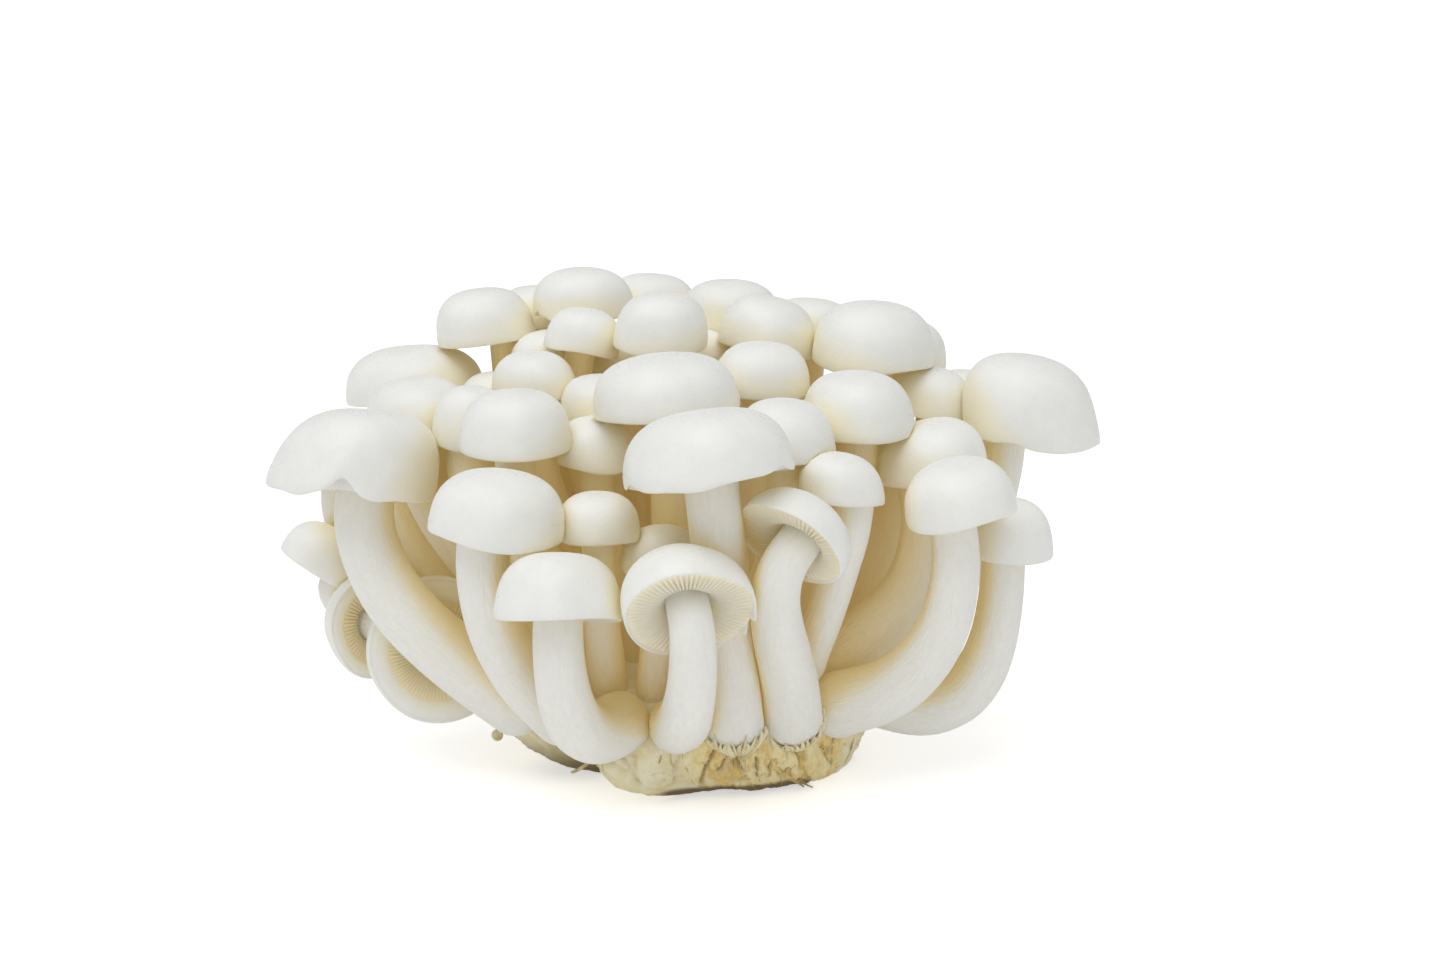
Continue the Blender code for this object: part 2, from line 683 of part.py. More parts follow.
def base_outline(bearing, level):
    """How far the base reaches at a bearing, from its flat underside at level 0 to its
    widest at level 1. The underside is a smaller oval that sits off to one side, and a
    notch at the front left parts the base into two lobes."""
    swell = math.sin(math.pi / 2 * level) ** WALL_FULLNESS
    square = 1 - FLAT_SQUARENESS * (1 - swell)
    x, y = (math.copysign(abs(side) ** square, side) for side in (math.cos(bearing), math.sin(bearing)))
    low, high = FLAT_HALF, (BASE_HALF_WIDTH, BASE_HALF_DEPTH)
    half = [a + (b - a) * swell for a, b in zip(low, high)]
    across = half[0] * x + FLAT_SHIFT[0] * (1 - swell)
    deep = half[1] * y + FLAT_SHIFT[1] * (1 - swell)
    notch = NOTCH_DEPTH * math.exp(-((turned(bearing, NOTCH_BEARING) / NOTCH_WIDTH) ** 2))
    bulge = BULGE_DEPTH * math.exp(-((turned(bearing, BULGE_BEARING) / BULGE_WIDTH) ** 2))
    share = 1 + (bulge - notch) * (1 - level**3)
    return across * share, deep * share


def base_shell():
    """The root base: a lumpy bowl of a knot with a domed top, cut flat underneath."""
    rings = []
    for level in WALL_LEVELS:
        places = []
        for bearing in np.arange(BASE_SIDES) * 2 * math.pi / BASE_SIDES:
            x, y = base_outline(bearing, level)
            spot = Vector((x, y, level * BASE_WAIST)) / BASE_LUMP_SIZE
            lump = max(noise.noise(spot) + 0.5, 0) * BASE_LUMP * (level - level**2) * 4
            shrink = 1 - lump / BASE_HALF_WIDTH
            places.append((x * shrink, y * shrink, level * BASE_WAIST))
        rings.append(np.array(places))
    bearings = np.arange(BASE_SIDES) * 2 * math.pi / BASE_SIDES
    for share in TOP_SHARES:
        x, y = BASE_HALF_WIDTH * share * np.cos(bearings), BASE_HALF_DEPTH * share * np.sin(bearings)
        height = BASE_WAIST + BASE_CROWN * math.sqrt(1 - share**2)
        rings.append(np.stack([x, y, np.full(BASE_SIDES, height)], axis=1))
    peak = np.array([0, 0, BASE_WAIST + BASE_CROWN])
    floor = np.array([*FLAT_SHIFT, 0])
    return Shell("root_base", rings, [peak] * (len(rings) + 2), peak, floor)


def make_material(name, colour, roughness):
    material = bpy.data.materials.new(name)
    material.use_nodes = True
    shader = material.node_tree.nodes["Principled BSDF"]
    shader.inputs["Base Color"].default_value = (*colour, 1)
    shader.inputs["Roughness"].default_value = roughness
    shader.inputs["Metallic"].default_value = 0.0
    return material


def main():
    for old in list(bpy.data.objects):
        bpy.data.objects.remove(old)
    bunch = bpy.data.collections.new("beech_mushroom_bunch")
    bpy.context.scene.collection.children.link(bunch)
    flesh = make_material("mushroom_flesh", (0.90, 0.88, 0.82), 0.5)
    root = make_material("root_crust", (0.72, 0.64, 0.42), 0.85)
    base = base_shell()
    plants = grow_bunch()
    shells = [mushroom_shell(f"mushroom_{k:02d}", plant, plants) for k, plant in enumerate(plants, start=1)]
    part_company(shells, base.tree())
    make_object(base, root, bunch)
    for shell in shells:
        make_object(shell, flesh, bunch)


if __name__ == "__main__":
    main()
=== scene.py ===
# %% [markdown]
# White beech mushrooms, one bunch
#
# A bunch is what comes out of one growing bottle: a knot of old growing medium with some
# sixty mushrooms on it. Each mushroom grew as one piece of cap, gills and stem.
#
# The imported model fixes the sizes, with few faces. This script lays the same bunch out
# again from the same table and then gives each mushroom a fine skin, so that every fine
# piece lies where its solid lies. Lengths are in millimetres until a mesh is made.

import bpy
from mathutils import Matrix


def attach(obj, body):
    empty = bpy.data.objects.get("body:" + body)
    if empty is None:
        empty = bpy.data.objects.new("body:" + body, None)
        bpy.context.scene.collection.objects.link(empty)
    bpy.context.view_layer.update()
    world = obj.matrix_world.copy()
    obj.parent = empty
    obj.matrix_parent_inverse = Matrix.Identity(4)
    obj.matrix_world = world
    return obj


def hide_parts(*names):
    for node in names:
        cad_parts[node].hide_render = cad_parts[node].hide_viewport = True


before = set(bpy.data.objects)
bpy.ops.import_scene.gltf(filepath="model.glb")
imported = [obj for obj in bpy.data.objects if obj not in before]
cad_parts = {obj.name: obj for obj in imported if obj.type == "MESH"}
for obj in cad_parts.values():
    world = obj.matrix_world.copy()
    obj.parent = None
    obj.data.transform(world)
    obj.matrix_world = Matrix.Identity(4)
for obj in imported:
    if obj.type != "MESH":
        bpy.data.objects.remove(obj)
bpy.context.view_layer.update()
print("solids in the packed model:", len(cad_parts))

# %% Tools
import math
from collections import namedtuple

import bpy
import numpy as np
from mathutils import Vector, noise

METRES_PER_MM = 0.001
FULL_TURN = 2 * math.pi

# %% [markdown]
# Camera
#
# The rims of the caps look like ovals about a fifth as deep as they are wide, so the view
# looks down by twelve degrees. A long lens from some sixty centimetres away keeps the
# front and the back caps at nearly the same scale, as in a catalogue picture.

# %% Place the camera
CAMERA_DROP = math.radians(12)
CAMERA_REACH = 0.614
CAMERA_TARGET = Vector((0.0069, 0.0, 0.052))
CAMERA_LENS = 85
CAMERA_SENSOR = 36


def make_camera():
    back = Vector((0, -math.cos(CAMERA_DROP), math.sin(CAMERA_DROP)))
    camera = bpy.data.objects.new("camera", bpy.data.cameras.new("camera"))
    camera.data.lens = CAMERA_LENS
    camera.data.sensor_width = CAMERA_SENSOR
    camera.location = CAMERA_TARGET + CAMERA_REACH * back
    camera.rotation_mode = "QUATERNION"
    camera.rotation_quaternion = (-back).to_track_quat("-Z", "Y")
    bpy.context.scene.collection.objects.link(camera)
    bpy.context.scene.camera = camera
    return camera


print("camera stands at", [round(v, 3) for v in make_camera().location])

# %% [markdown]
# The root base as a plain shape
#
# Three measures describe the knot: half its width, half its depth, and a domed top over
# its widest level. The stems start on that dome, so it comes before them.

# %% Measures of the base
BASE_HALF_WIDTH = 34.0
BASE_HALF_DEPTH = 30.0
BASE_WAIST = 13.0
BASE_CROWN = 9.5
EDGE_SHARE = 0.985
FOOT_LIFT = 0.35


def unit(vector):
    vector = np.asarray(vector, float)
    return vector / np.linalg.norm(vector, axis=-1, keepdims=True)


def base_top(x, y):
    """The point just over the base's top at (x, y), and the way the base faces there."""
    share = math.hypot(x / BASE_HALF_WIDTH, y / BASE_HALF_DEPTH)
    if share > EDGE_SHARE:
        x, y = x * EDGE_SHARE / share, y * EDGE_SHARE / share
        share = EDGE_SHARE
    rise = BASE_CROWN * math.sqrt(1 - share**2)
    facing = unit((x / BASE_HALF_WIDTH**2, y / BASE_HALF_DEPTH**2, rise / BASE_CROWN**2))
    return np.array([x, y, BASE_WAIST + rise]) + FOOT_LIFT * facing, facing


# %% [markdown]
# The table of mushrooms
#
# Each row is one mushroom: the middle of its cap's rim, the cap's radius and height, and
# the way it points. Some rows also say where the foot stands, at how many degrees the stem
# rises from it, how far it bows, how thick it is and how swollen at the foot, where it is
# seated under the cap, how far the dome is pushed aside (skew), and how firmly the cap
# keeps its place (pull). A table is the honest way to model a natural thing from one
# picture: every place in it was given one by one, and each can be changed alone.

# %% The mushrooms that show
BOW = 0.42
FOOT_SWELL = 1.12

Mushroom = namedtuple(
    "Mushroom",
    "rim radius height axis foot rise bow stem seat skew pull swell",
    defaults=((0, 0, 1), None, None, BOW, None, (0, 0), (0, 0), 1.0, FOOT_SWELL),
)

SEEN = (
    Mushroom((-36.5, 25, 73.5), 9.2, 9.7, (-0.1, 0.05, 1), foot=(-12, 14), seat=(0.4, 0)),
    Mushroom((-18.5, 27, 78), 9.3, 8.8, (-0.05, 0, 1)),
    Mushroom((-6, 40, 75), 8.8, 8.5, (0.05, 0.1, 1)),
    Mushroom((-18.5, 12, 74), 6.7, 7.4, (0.16, 0, 1)),
    Mushroom((-4, 6, 75.3), 8.6, 10.2, (0.04, 0, 1)),
    Mushroom((9.5, 33, 74.4), 9.6, 9.0, (0.0, 0.05, 1)),
    Mushroom((15.5, 15, 73.5), 9.2, 9.5, (0.2, 0, 1)),
    Mushroom((14, -2, 68.6), 8.4, 9.0, (0.05, 0, 1)),
    Mushroom((-26.5, 6, 66.6), 7.7, 8.0, (0.0, 0, 1)),
    Mushroom((-14.5, -1, 64), 7.4, 7.8, (0.0, 0, 1)),
    Mushroom((-2.3, -16, 67.7), 12.5, 10.2, (-0.09, 0.02, 1)),
    Mushroom((22.5, 32, 73), 8.2, 8.0, (0.08, 0.1, 1)),
    Mushroom((34.5, 12, 71.6), 11.0, 11.2, (0.04, 0, 1)),
    Mushroom((40.5, 28, 68.3), 9.0, 9.0, (0.15, 0.1, 1)),
    Mushroom((45.8, 9, 62.6), 7.0, 8.2, (0.08, 0, 1)),
    Mushroom((31.3, -12, 62.7), 10.3, 10.8, (0.0, 0, 1)),
    Mushroom((62.9, 6, 59.4), 12.5, 14.6, (0.08, 0, 1), seat=(-0.4, 0), skew=(-0.3, 0)),
    Mushroom(
        (44.5, -10, 55.5), 9.9, 9.4, (-0.22, 0, 1),
        foot=(29, -8), rise=30, bow=0.46, stem=5.0, seat=(-0.25, 0),
    ),
    Mushroom(
        (48.5, -25, 52.2), 10, 9.6, (-0.16, -0.03, 1),
        foot=(27.5, -18.5), rise=22, bow=0.44, stem=4.5, seat=(-0.2, 0), swell=1.35,
    ),
    Mushroom(
        (57.9, -14, 41.7), 8.1, 10.1, (0.03, 0, 1),
        foot=(33, -9), rise=-18, bow=0.56, stem=4.3, seat=(-0.1, 0), swell=1.45,
    ),
    Mushroom((18.5, -22, 61.4), 8.9, 9.8, (0.0, 0, 1), foot=(9, -15)),
    Mushroom(
        (5.5, -37, 61.0), 14.2, 12.0, (-0.13, 0.16, 1),
        foot=(9.2, -27.4), rise=80, stem=5.2, swell=1.0,
    ),
    Mushroom(
        (27.8, -29, 55.4), 7.4, 7.6, (0.12, 0.02, 1),
        foot=(26, -14), stem=3.8, seat=(0.3, 0), skew=(-0.2, 0),
    ),
    Mushroom(
        (18.5, -45, 50.6), 9.8, 8.5, (0.52, 0.66, 0.62),
        foot=(23.5, -24), rise=66, stem=4.2, seat=(0.12, 0), swell=1.35,
    ),
    Mushroom((-14.8, -15, 58.2), 7.2, 8.4, (0.0, 0, 1)),
    Mushroom((-29, -15, 61.8), 9.8, 10.4, (0.02, 0, 1)),
    Mushroom((-37.6, -7, 60.8), 6.9, 10.0, (0.02, 0, 1), stem=4.8),
    Mushroom((-47.6, 0, 60), 9.8, 10.2, (-0.05, 0, 1), stem=5.0),
    Mushroom((-49.8, 24, 62), 13.0, 10.2, (-0.03, 0.05, 1), stem=5.0),
    Mushroom(
        (-58.2, -14, 53.5), 14.8, 15.0, (0.1, 0.2, 1),
        foot=(-29, -13), rise=34, stem=5.7, seat=(0.2, 0), skew=(0.15, 0),
    ),
    Mushroom(
        (-31.3, -36, 50.2), 11.4, 11.1, (0.1, 0, 1),
        foot=(-20, -22), rise=38, stem=5.1, seat=(-0.15, 0),
    ),
    Mushroom((-14.2, -31, 48.6), 7.2, 7.8, (0.0, 0, 1), foot=(-13, -20)),
    Mushroom((-3.5, -29, 43), 6.6, 7.2, (0.0, 0, 1), foot=(-5, -22)),
    Mushroom(
        (-20.2, -48, 38.5), 10.6, 11.2, (0.02, 0.25, 1),
        foot=(-11, -29), rise=-6, bow=0.5, stem=4.7, swell=1.2,
    ),
    Mushroom(
        (1.8, -52, 40.6), 11.0, 10.4, (-0.15, 0.8, 0.6),
        foot=(-2, -30), rise=10, stem=4.1, swell=1.25,
    ),
    Mushroom(
        (-65.6, 9, 34.2), 8.3, 8.0, (0.6, 0.1, 1),
        foot=(-31, 15), rise=4, bow=0.3, seat=(0.5, 0.2),
    ),
    Mushroom((-55.2, 3, 26.0), 10.3, 8.0, (-0.6, 0.8, -0.05), foot=(-33, 4), rise=4),
    Mushroom(
        (-43.0, -5, 23.0), 13.0, 8.6, (-0.34, 0.92, -0.16),
        foot=(-30, -9), rise=0, bow=0.4, stem=3.8,
    ),
)

# Caps that fill the gaps between the tall ones.
BETWEEN = (
    Mushroom((-24, 20, 69), 7.4, 7.2, pull=0.5, stem=4.4),
    Mushroom((-34, 12, 63), 6.8, 6.6, pull=0.5, stem=4.4),
    Mushroom((-11, 23, 68.5), 7.0, 6.8, pull=0.5, stem=4.4),
    Mushroom((3, 21, 69), 6.6, 7.0, pull=0.5, stem=4.4),
    Mushroom((26, 3, 60), 6.8, 6.6, pull=0.5, stem=4.4),
    Mushroom((38, 4, 56), 6.6, 6.4, foot=(24, 2), pull=0.5, stem=4.6),
    Mushroom((9, 47, 68.5), 8.6, 8.2, (0.0, 0.14, 1), pull=0.5),
    Mushroom((-28.5, 42, 73), 8.4, 8.2, (-0.05, 0.14, 1), pull=0.7),
    Mushroom((53.5, 24, 59.5), 8.4, 8.4, (0.12, 0.1, 1), pull=0.7),
    Mushroom((-52, 9, 53.5), 7.0, 7.0, foot=(-28, 2), rise=34, pull=0.7, stem=5.2),
    Mushroom((-62, 12, 49), 7.4, 7.4, foot=(-30, 13), rise=24, pull=0.7, stem=4.6),
)
print("mushrooms that show:", len(SEEN), "and between them:", len(BETWEEN))

# %% [markdown]
# The far side
#
# One picture can't show the back, so the back is laid out in rows of bearings with a
# little seeded irregularity, as full as the front is.

# %% The mushrooms behind
Row = namedtuple("Row", "height reach count first_bearing last_bearing")
BACK_ROWS = (
    Row(55, (61, 48), 3, 48, 132),
    Row(41, (60, 50), 5, 18, 162),
    Row(27, (51, 44), 2, 40, 140),
)
BACK_RADII = (8.2, 11.2)
BACK_TALLNESS = (0.86, 1.05)
BACK_JITTER = 2.2
BACK_SHRINK = 0.08
BACK_LEAN = 0.16
BACK_PULL = 0.3


def far_side(draw):
    found = []
    for number, row in enumerate(BACK_ROWS):
        for k in range(row.count):
            share = (k + 0.5) / row.count
            span = row.last_bearing - row.first_bearing
            bearing = math.radians(row.first_bearing + share * span)
            radius = draw.uniform(*BACK_RADII) * (1 - BACK_SHRINK * number)
            across, deep = math.cos(bearing), math.sin(bearing)
            rim = np.array([row.reach[0] * across, row.reach[1] * deep, row.height])
            rim = rim + draw.uniform(-BACK_JITTER, BACK_JITTER, 3)
            tall = radius * draw.uniform(*BACK_TALLNESS)
            lean = (BACK_LEAN * across, BACK_LEAN * deep, 1)
            found.append(Mushroom(tuple(rim), radius, tall, lean, pull=BACK_PULL))
    return found


# %% [markdown]
# One mushroom in the layout
#
# A stem is a curve that leaves the base at a slope and meets the cap along the cap's
# axis. A cap is a rounded dome, squarer than a ball, with a rim that waves and dips.
# The same numbers also say how far any point is from the mushroom, which is what the
# crowding below needs.

# %% Stem curve and cap measures
STEM_RADIUS_LEAST = 1.3
STEM_RADIUS_SHARE = 0.26
NECK_SLIM = 0.9
SWELL_FADE = 1.5
JOINT_HEIGHT = 0.3
CAP_SQUARENESS = 2.45
GILL_DROP = 0.02
ORIGIN_HEIGHT = 0.35
FOOT_SHARE = (0.5, 0.58)
STEEPEST_RISE = 84.0
RISE_LOST_OUTWARD = 42.0
OUTER_REACH = 60.0
STEM_POINTS = 7
SKEW_SPAN = (-0.07, 0.07)
CAP_BALLS = 9
RING_BALL = 0.42
RING_HEIGHT = 0.36
MIDDLE_BALL = 0.62
WAVES = ((2, (0.01, 0.045)), (3, (0.005, 0.025)), (5, (0.0, 0.012)))
DIPS = ((2, (0.0, 0.05)), (3, (0.0, 0.03)))


def stem_profile(t, swell):
    """Thickness along the stem as a share: swollen at the foot, slim at the neck."""
    return NECK_SLIM + (swell - NECK_SLIM) * (1 - t) ** SWELL_FADE


def stem_curve(points, steps):
    """A curve from the first point to the last, drawn towards the two between them."""
    t = np.linspace(0, 1, steps)[:, None]
    a, b, c, d = (np.asarray(p, float) for p in points)
    return (1 - t) ** 3 * a + 3 * t * (1 - t) ** 2 * b + 3 * t**2 * (1 - t) * c + t**3 * d


def wave(waves, angle):
    return sum(size * np.cos(n * angle + phase) for n, size, phase in waves)


# %% The plant
class Plant:
    """One mushroom as it is laid out: its stem's line, its cap's frame and its uneven rim."""

    def __init__(self, wish, draw):
        self.wish = wish
        self.radius, self.height = wish.radius, wish.height
        self.axis = unit(wish.axis)
        side = unit(np.cross((0, 1, 0), self.axis))
        self.sides = side, np.cross(self.axis, side)
        self.rim = np.array(wish.rim, float)
        self.waves = [(n, draw.uniform(*span), draw.uniform(0, FULL_TURN)) for n, span in WAVES]
        self.dips = [(n, draw.uniform(*span), draw.uniform(0, FULL_TURN)) for n, span in DIPS]
        self.skew = np.array(wish.skew) + draw.uniform(*SKEW_SPAN, 2)
        self.stem = wish.stem or STEM_RADIUS_LEAST + STEM_RADIUS_SHARE * self.radius
        self.line = self.first_line()
        self.bend = self.line[1:-1] - (self.line[:-2] + self.line[2:]) / 2
        self.thickness = self.thick_in(STEM_POINTS)

    def thick_in(self, steps):
        """The stem's radius at even steps along it."""
        return self.stem * stem_profile(np.linspace(0, 1, steps), self.wish.swell)

    def first_line(self):
        wish = self.wish
        foot = wish.foot or (wish.rim[0] * FOOT_SHARE[0], wish.rim[1] * FOOT_SHARE[1])
        start, _ = base_top(*foot)
        joint = self.rim + self.reach_up(*wish.seat, JOINT_HEIGHT)
        out = math.hypot(wish.rim[0], wish.rim[1]) / OUTER_REACH
        usual = STEEPEST_RISE - RISE_LOST_OUTWARD * out
        rise = math.radians(usual if wish.rise is None else wish.rise)
        level = unit((joint - start)[:2])
        leave = np.array([*(level * math.cos(rise)), math.sin(rise)])
        bow = wish.bow * np.linalg.norm(joint - start)
        return stem_curve((start, start + bow * leave, joint - bow * self.axis, joint), STEM_POINTS)

    def reach_up(self, across, deep, up):
        """From the middle of the rim: across and deep in radii, and up in cap heights."""
        flat = self.radius * (across * self.sides[0] + deep * self.sides[1])
        return flat + up * self.height * self.axis

    def cap_balls(self):
        """Balls that fill the cap, for feeling where it meets its neighbours."""
        small = RING_BALL * min(self.radius, self.height)
        around = np.arange(CAP_BALLS - 1) * FULL_TURN / (CAP_BALLS - 1)
        u, v = self.sides
        ring = (self.radius - small) * (np.cos(around)[:, None] * u + np.sin(around)[:, None] * v)
        ring = ring + RING_HEIGHT * self.height * self.axis
        middle = MIDDLE_BALL * min(self.radius, self.height)
        places = np.vstack([ring, (self.height - middle) * self.axis])
        return places, np.append(np.full(CAP_BALLS - 1, small), middle)


# %% [markdown]
# Growing crowded
#
# Real mushrooms push each other aside as they grow. Here every stem and cap is a row of
# balls: balls that overlap push apart, stems are springs, and caps that show keep their
# place in the picture and give way in depth. A few hundred rounds settle the bunch.

# %% Settle the bunch
CLEARANCE = 0.45
SETTLE_ROUNDS = 360
NEIGHBOUR_ROUNDS = 15
NEIGHBOUR_MARGIN = 3.0
SPRING = np.array([0.16, 0.02, 0.16])
PUSH_SHARE = 0.55
BEND_PULL = 0.35
CAP_FOLLOWS = 0.3
NECK_FOLLOWS = 0.5
FOOT_RETURNS = 0.1
TABLE_CLEARANCE = 1.5
DEEPEST_SHARE = 0.3


def neighbours(where, size, owner):
    """The pairs of balls of different mushrooms that are near enough to touch soon."""
    square = (where**2).sum(1)
    far = np.maximum(square[:, None] + square[None] - 2 * where @ where.T, 0)
    reach = size[:, None] + size[None] + CLEARANCE + NEIGHBOUR_MARGIN
    return np.nonzero(np.triu((far < reach**2) & (owner[:, None] != owner[None])))


def shove(where, size, one, other):
    """How far each ball is pushed away from those that it overlaps."""
    gap = where[one] - where[other]
    far = np.linalg.norm(gap, axis=1) + 1e-9
    press = np.maximum(size[one] + size[other] + CLEARANCE - far, 0)
    step = gap * (PUSH_SHARE * press / far)[:, None]
    both, count = np.concatenate([one, other]), len(where)
    touching = np.bincount(both, np.tile(press > 0, 2), count)
    moves = np.concatenate([step, -step])
    total = np.stack([np.bincount(both, moves[:, k], count) for k in range(3)], axis=1)
    return total / np.sqrt(np.maximum(touching, 1))[:, None]


def keep_off_base(line, thickness):
    """Stems past their foot stay outside the base and above the table."""
    radii = np.array([BASE_HALF_WIDTH, BASE_HALF_DEPTH, BASE_CROWN])
    middle = np.array([0, 0, BASE_WAIST])
    for k in range(1, len(line)):
        away = line[k] - middle
        grown = radii + thickness[k]
        inside = np.linalg.norm(away / grown)
        if inside < 1:
            line[k] = middle + away / max(inside, DEEPEST_SHARE)
        line[k][2] = max(line[k][2], thickness[k] + TABLE_CLEARANCE)


def settle(plants):
    count, points = len(plants), STEM_POINTS
    lines = np.array([p.line for p in plants])
    bends = np.array([p.bend for p in plants])
    rims = np.array([p.rim for p in plants])
    homes = rims.copy()
    roots = lines[:, 0].copy()
    axes = np.array([p.axis for p in plants])
    joints = np.array([p.reach_up(*p.wish.seat, JOINT_HEIGHT) for p in plants])
    necks = np.linalg.norm(lines[:, -1] - lines[:, -2], axis=1)[:, None] * axes
    pulls = np.array([p.wish.pull for p in plants])[:, None] * SPRING
    balls = [p.cap_balls() for p in plants]
    offsets = np.array([b[0] for b in balls])
    sizes = np.ravel([p.thickness for p in plants]), np.ravel([b[1] for b in balls])
    size = np.concatenate(sizes)
    numbers = np.arange(count)
    owner = np.concatenate([np.repeat(numbers, points), np.repeat(numbers, CAP_BALLS)])
    for step in range(SETTLE_ROUNDS):
        where = np.vstack([lines.reshape(-1, 3), (rims[:, None] + offsets).reshape(-1, 3)])
        if step % NEIGHBOUR_ROUNDS == 0:
            one, other = neighbours(where, size, owner)
        push = shove(where, size, one, other)
        cap_push = push[count * points :].reshape(count, CAP_BALLS, 3)
        lines += push[: count * points].reshape(count, points, 3)
        straight = (lines[:, :-2] + lines[:, 2:]) / 2
        lines[:, 1:-1] += BEND_PULL * (straight + bends - lines[:, 1:-1])
        rims += cap_push.sum(1) / np.maximum((np.abs(cap_push).sum(2) > 0).sum(1), 1)[:, None]
        rims += CAP_FOLLOWS * (lines[:, -1] - joints - rims) + pulls * (homes - rims)
        lines[:, -1] = rims + joints
        lines[:, -2] += NECK_FOLLOWS * (lines[:, -1] - necks - lines[:, -2])
        lines[:, 0] += FOOT_RETURNS * (roots - lines[:, 0])
        for line, plant in zip(lines, plants):
            line[0], _ = base_top(*line[0][:2])
            keep_off_base(line, plant.thickness)
    for plant, line, rim in zip(plants, lines, rims):
        plant.line, plant.rim = line, rim


# %% Grow it
SEED = 11


def grow_bunch():
    draw = np.random.default_rng(SEED)
    plants = [Plant(wish, draw) for wish in (*SEEN, *BETWEEN, *far_side(draw))]
    settle(plants)
    return plants


plants = grow_bunch()
print("mushrooms in the bunch:", len(plants))

# %% [markdown]
# Finer stem lines
#
# Seven points are enough to lay a stem out, but a skin through seven rings would show
# corners. A curve through the same points, with many more steps, follows the layout and
# bends smoothly.

# %% Smooth the stem lines
STEM_ROWS = 34
FEELER_POINTS = 19


def smooth_line(points, steps):
    """A curve that passes through all the points, with even steps between them."""
    padded = np.vstack([2 * points[0] - points[1], points, 2 * points[-1] - points[-2]])
    t = np.linspace(0, len(points) - 1, steps)
    k = np.minimum(t.astype(int), len(points) - 2)
    f = (t - k)[:, None]
    a, b, c, d = (padded[k + n] for n in range(4))
    return b + 0.5 * f * (c - a + f * (2 * a - 5 * b + 4 * c - d + f * (3 * (b - c) + d - a)))


for plant in plants:
    plant.fine_line = smooth_line(plant.line, STEM_ROWS)
    plant.steps = np.linalg.norm(np.diff(plant.fine_line, axis=0), axis=1)
    plant.feeler = smooth_line(plant.line, FEELER_POINTS)
    plant.feeler_thickness = plant.thick_in(FEELER_POINTS)
print("longest stem:", round(max(plant.steps.sum() for plant in plants)), "mm")

# %% [markdown]
# How far a point is from a mushroom
#
# For the stem it is the distance to the nearest bit of its line, less the thickness. For
# the cap it is a share: the same rounded formula that draws the dome, read backwards.

# %% Distance to one mushroom
def stem_distance(plant, points):
    start, end = plant.feeler[:-1], plant.feeler[1:]
    along = end - start
    away = points[:, None] - start
    t = np.clip((away * along).sum(2) / (along**2).sum(1), 0, 1)
    thick = plant.feeler_thickness[:-1] + t * np.diff(plant.feeler_thickness)
    return (np.linalg.norm(away - t[..., None] * along, axis=2) - thick).min(1)


def cap_distance(plant, points):
    away = points - plant.rim
    up = away @ plant.axis
    across, deep = away @ plant.sides[0], away @ plant.sides[1]
    climb = np.clip(up / plant.height, 0, 1)[:, None] * plant.radius * plant.skew
    across, deep = across - climb[:, 0], deep - climb[:, 1]
    angle = np.arctan2(deep, across)
    dip = plant.height * wave(plant.dips, angle)
    reach = plant.radius * (1 + wave(plant.waves, angle))
    lift = np.maximum(up - dip, 0)
    power = CAP_SQUARENESS
    out, up_share = np.hypot(across, deep) / reach, lift / plant.height
    share = (out**power + up_share**power) ** (1 / power)
    dome = (share - 1) * min(plant.radius, plant.height)
    return np.maximum(dome, dip - plant.height * GILL_DROP - up)


def mushroom_distance(plant, points):
    return np.minimum(stem_distance(plant, points), cap_distance(plant, points))


# %% Boxes round the mushrooms
BOX_MARGIN = 1.3


def plant_box(plant):
    """The low and the high corner of a box that the whole mushroom lies in."""
    reach = plant.radius * BOX_MARGIN
    low = np.vstack([plant.line - plant.stem * plant.wish.swell, plant.rim - reach]).min(0)
    high = np.vstack([plant.line + plant.stem * plant.wish.swell, plant.rim + reach]).max(0)
    return low, high


boxes = [plant_box(plant) for plant in plants]
print("boxes round mushrooms:", len(boxes))

# %% [markdown]
# Pressing together
#
# Where two mushrooms would run into each other, both skins give way and meet in a seam
# halfway, with a hair of air between them. Each point of a skin has a heart that it may
# draw back to: the middle of the stem, or the inside of the cap. Halving the way again
# and again finds where it just clears.

# %% Press a skin in among its neighbours
SEAM_GAP = 0.16
LEAST_SHARE = 0.25
HALVINGS = 9
FAR_AWAY = 1e3
NEAR_ENOUGH = 5


def crowded(number, points):
    """True for each point that is nearer to another mushroom than to its own."""
    nearest = np.full(len(points), FAR_AWAY)
    for k, (low, high) in enumerate(boxes):
        if k != number:
            inside = np.nonzero(((points > low - SEAM_GAP) & (points < high + SEAM_GAP)).all(1))[0]
            if len(inside):
                found = mushroom_distance(plants[k], points[inside])
                nearest[inside] = np.minimum(nearest[inside], found)
    tight = np.nonzero(nearest < NEAR_ENOUGH)[0]
    answer = np.zeros(len(points), bool)
    if len(tight):
        answer[tight] = nearest[tight] - mushroom_distance(plants[number], points[tight]) < SEAM_GAP
    return answer


def press(number, points, hearts):
    tight = np.nonzero(crowded(number, points))[0]
    if len(tight):
        heart, reach = hearts[tight], points[tight] - hearts[tight]
        low, high = np.full(len(tight), LEAST_SHARE), np.ones(len(tight))
        for _ in range(HALVINGS):
            share = (low + high) / 2
            tight_here = crowded(number, heart + share[:, None] * reach)
            low = np.where(tight_here, low, share)
            high = np.where(tight_here, share, high)
        points[tight] = heart + low[:, None] * reach
    return points


# %% [markdown]
# Meshes from rings
#
# Stem, gills, rim and dome are all rings of points round an axis, so one tool sews two
# neighbouring rings together. Rings with the same count get squares. Others get
# triangles, which lets the gills have many points and the dome few.

# %% Sew rings
def turn(count):
    return np.arange(count) * FULL_TURN / count


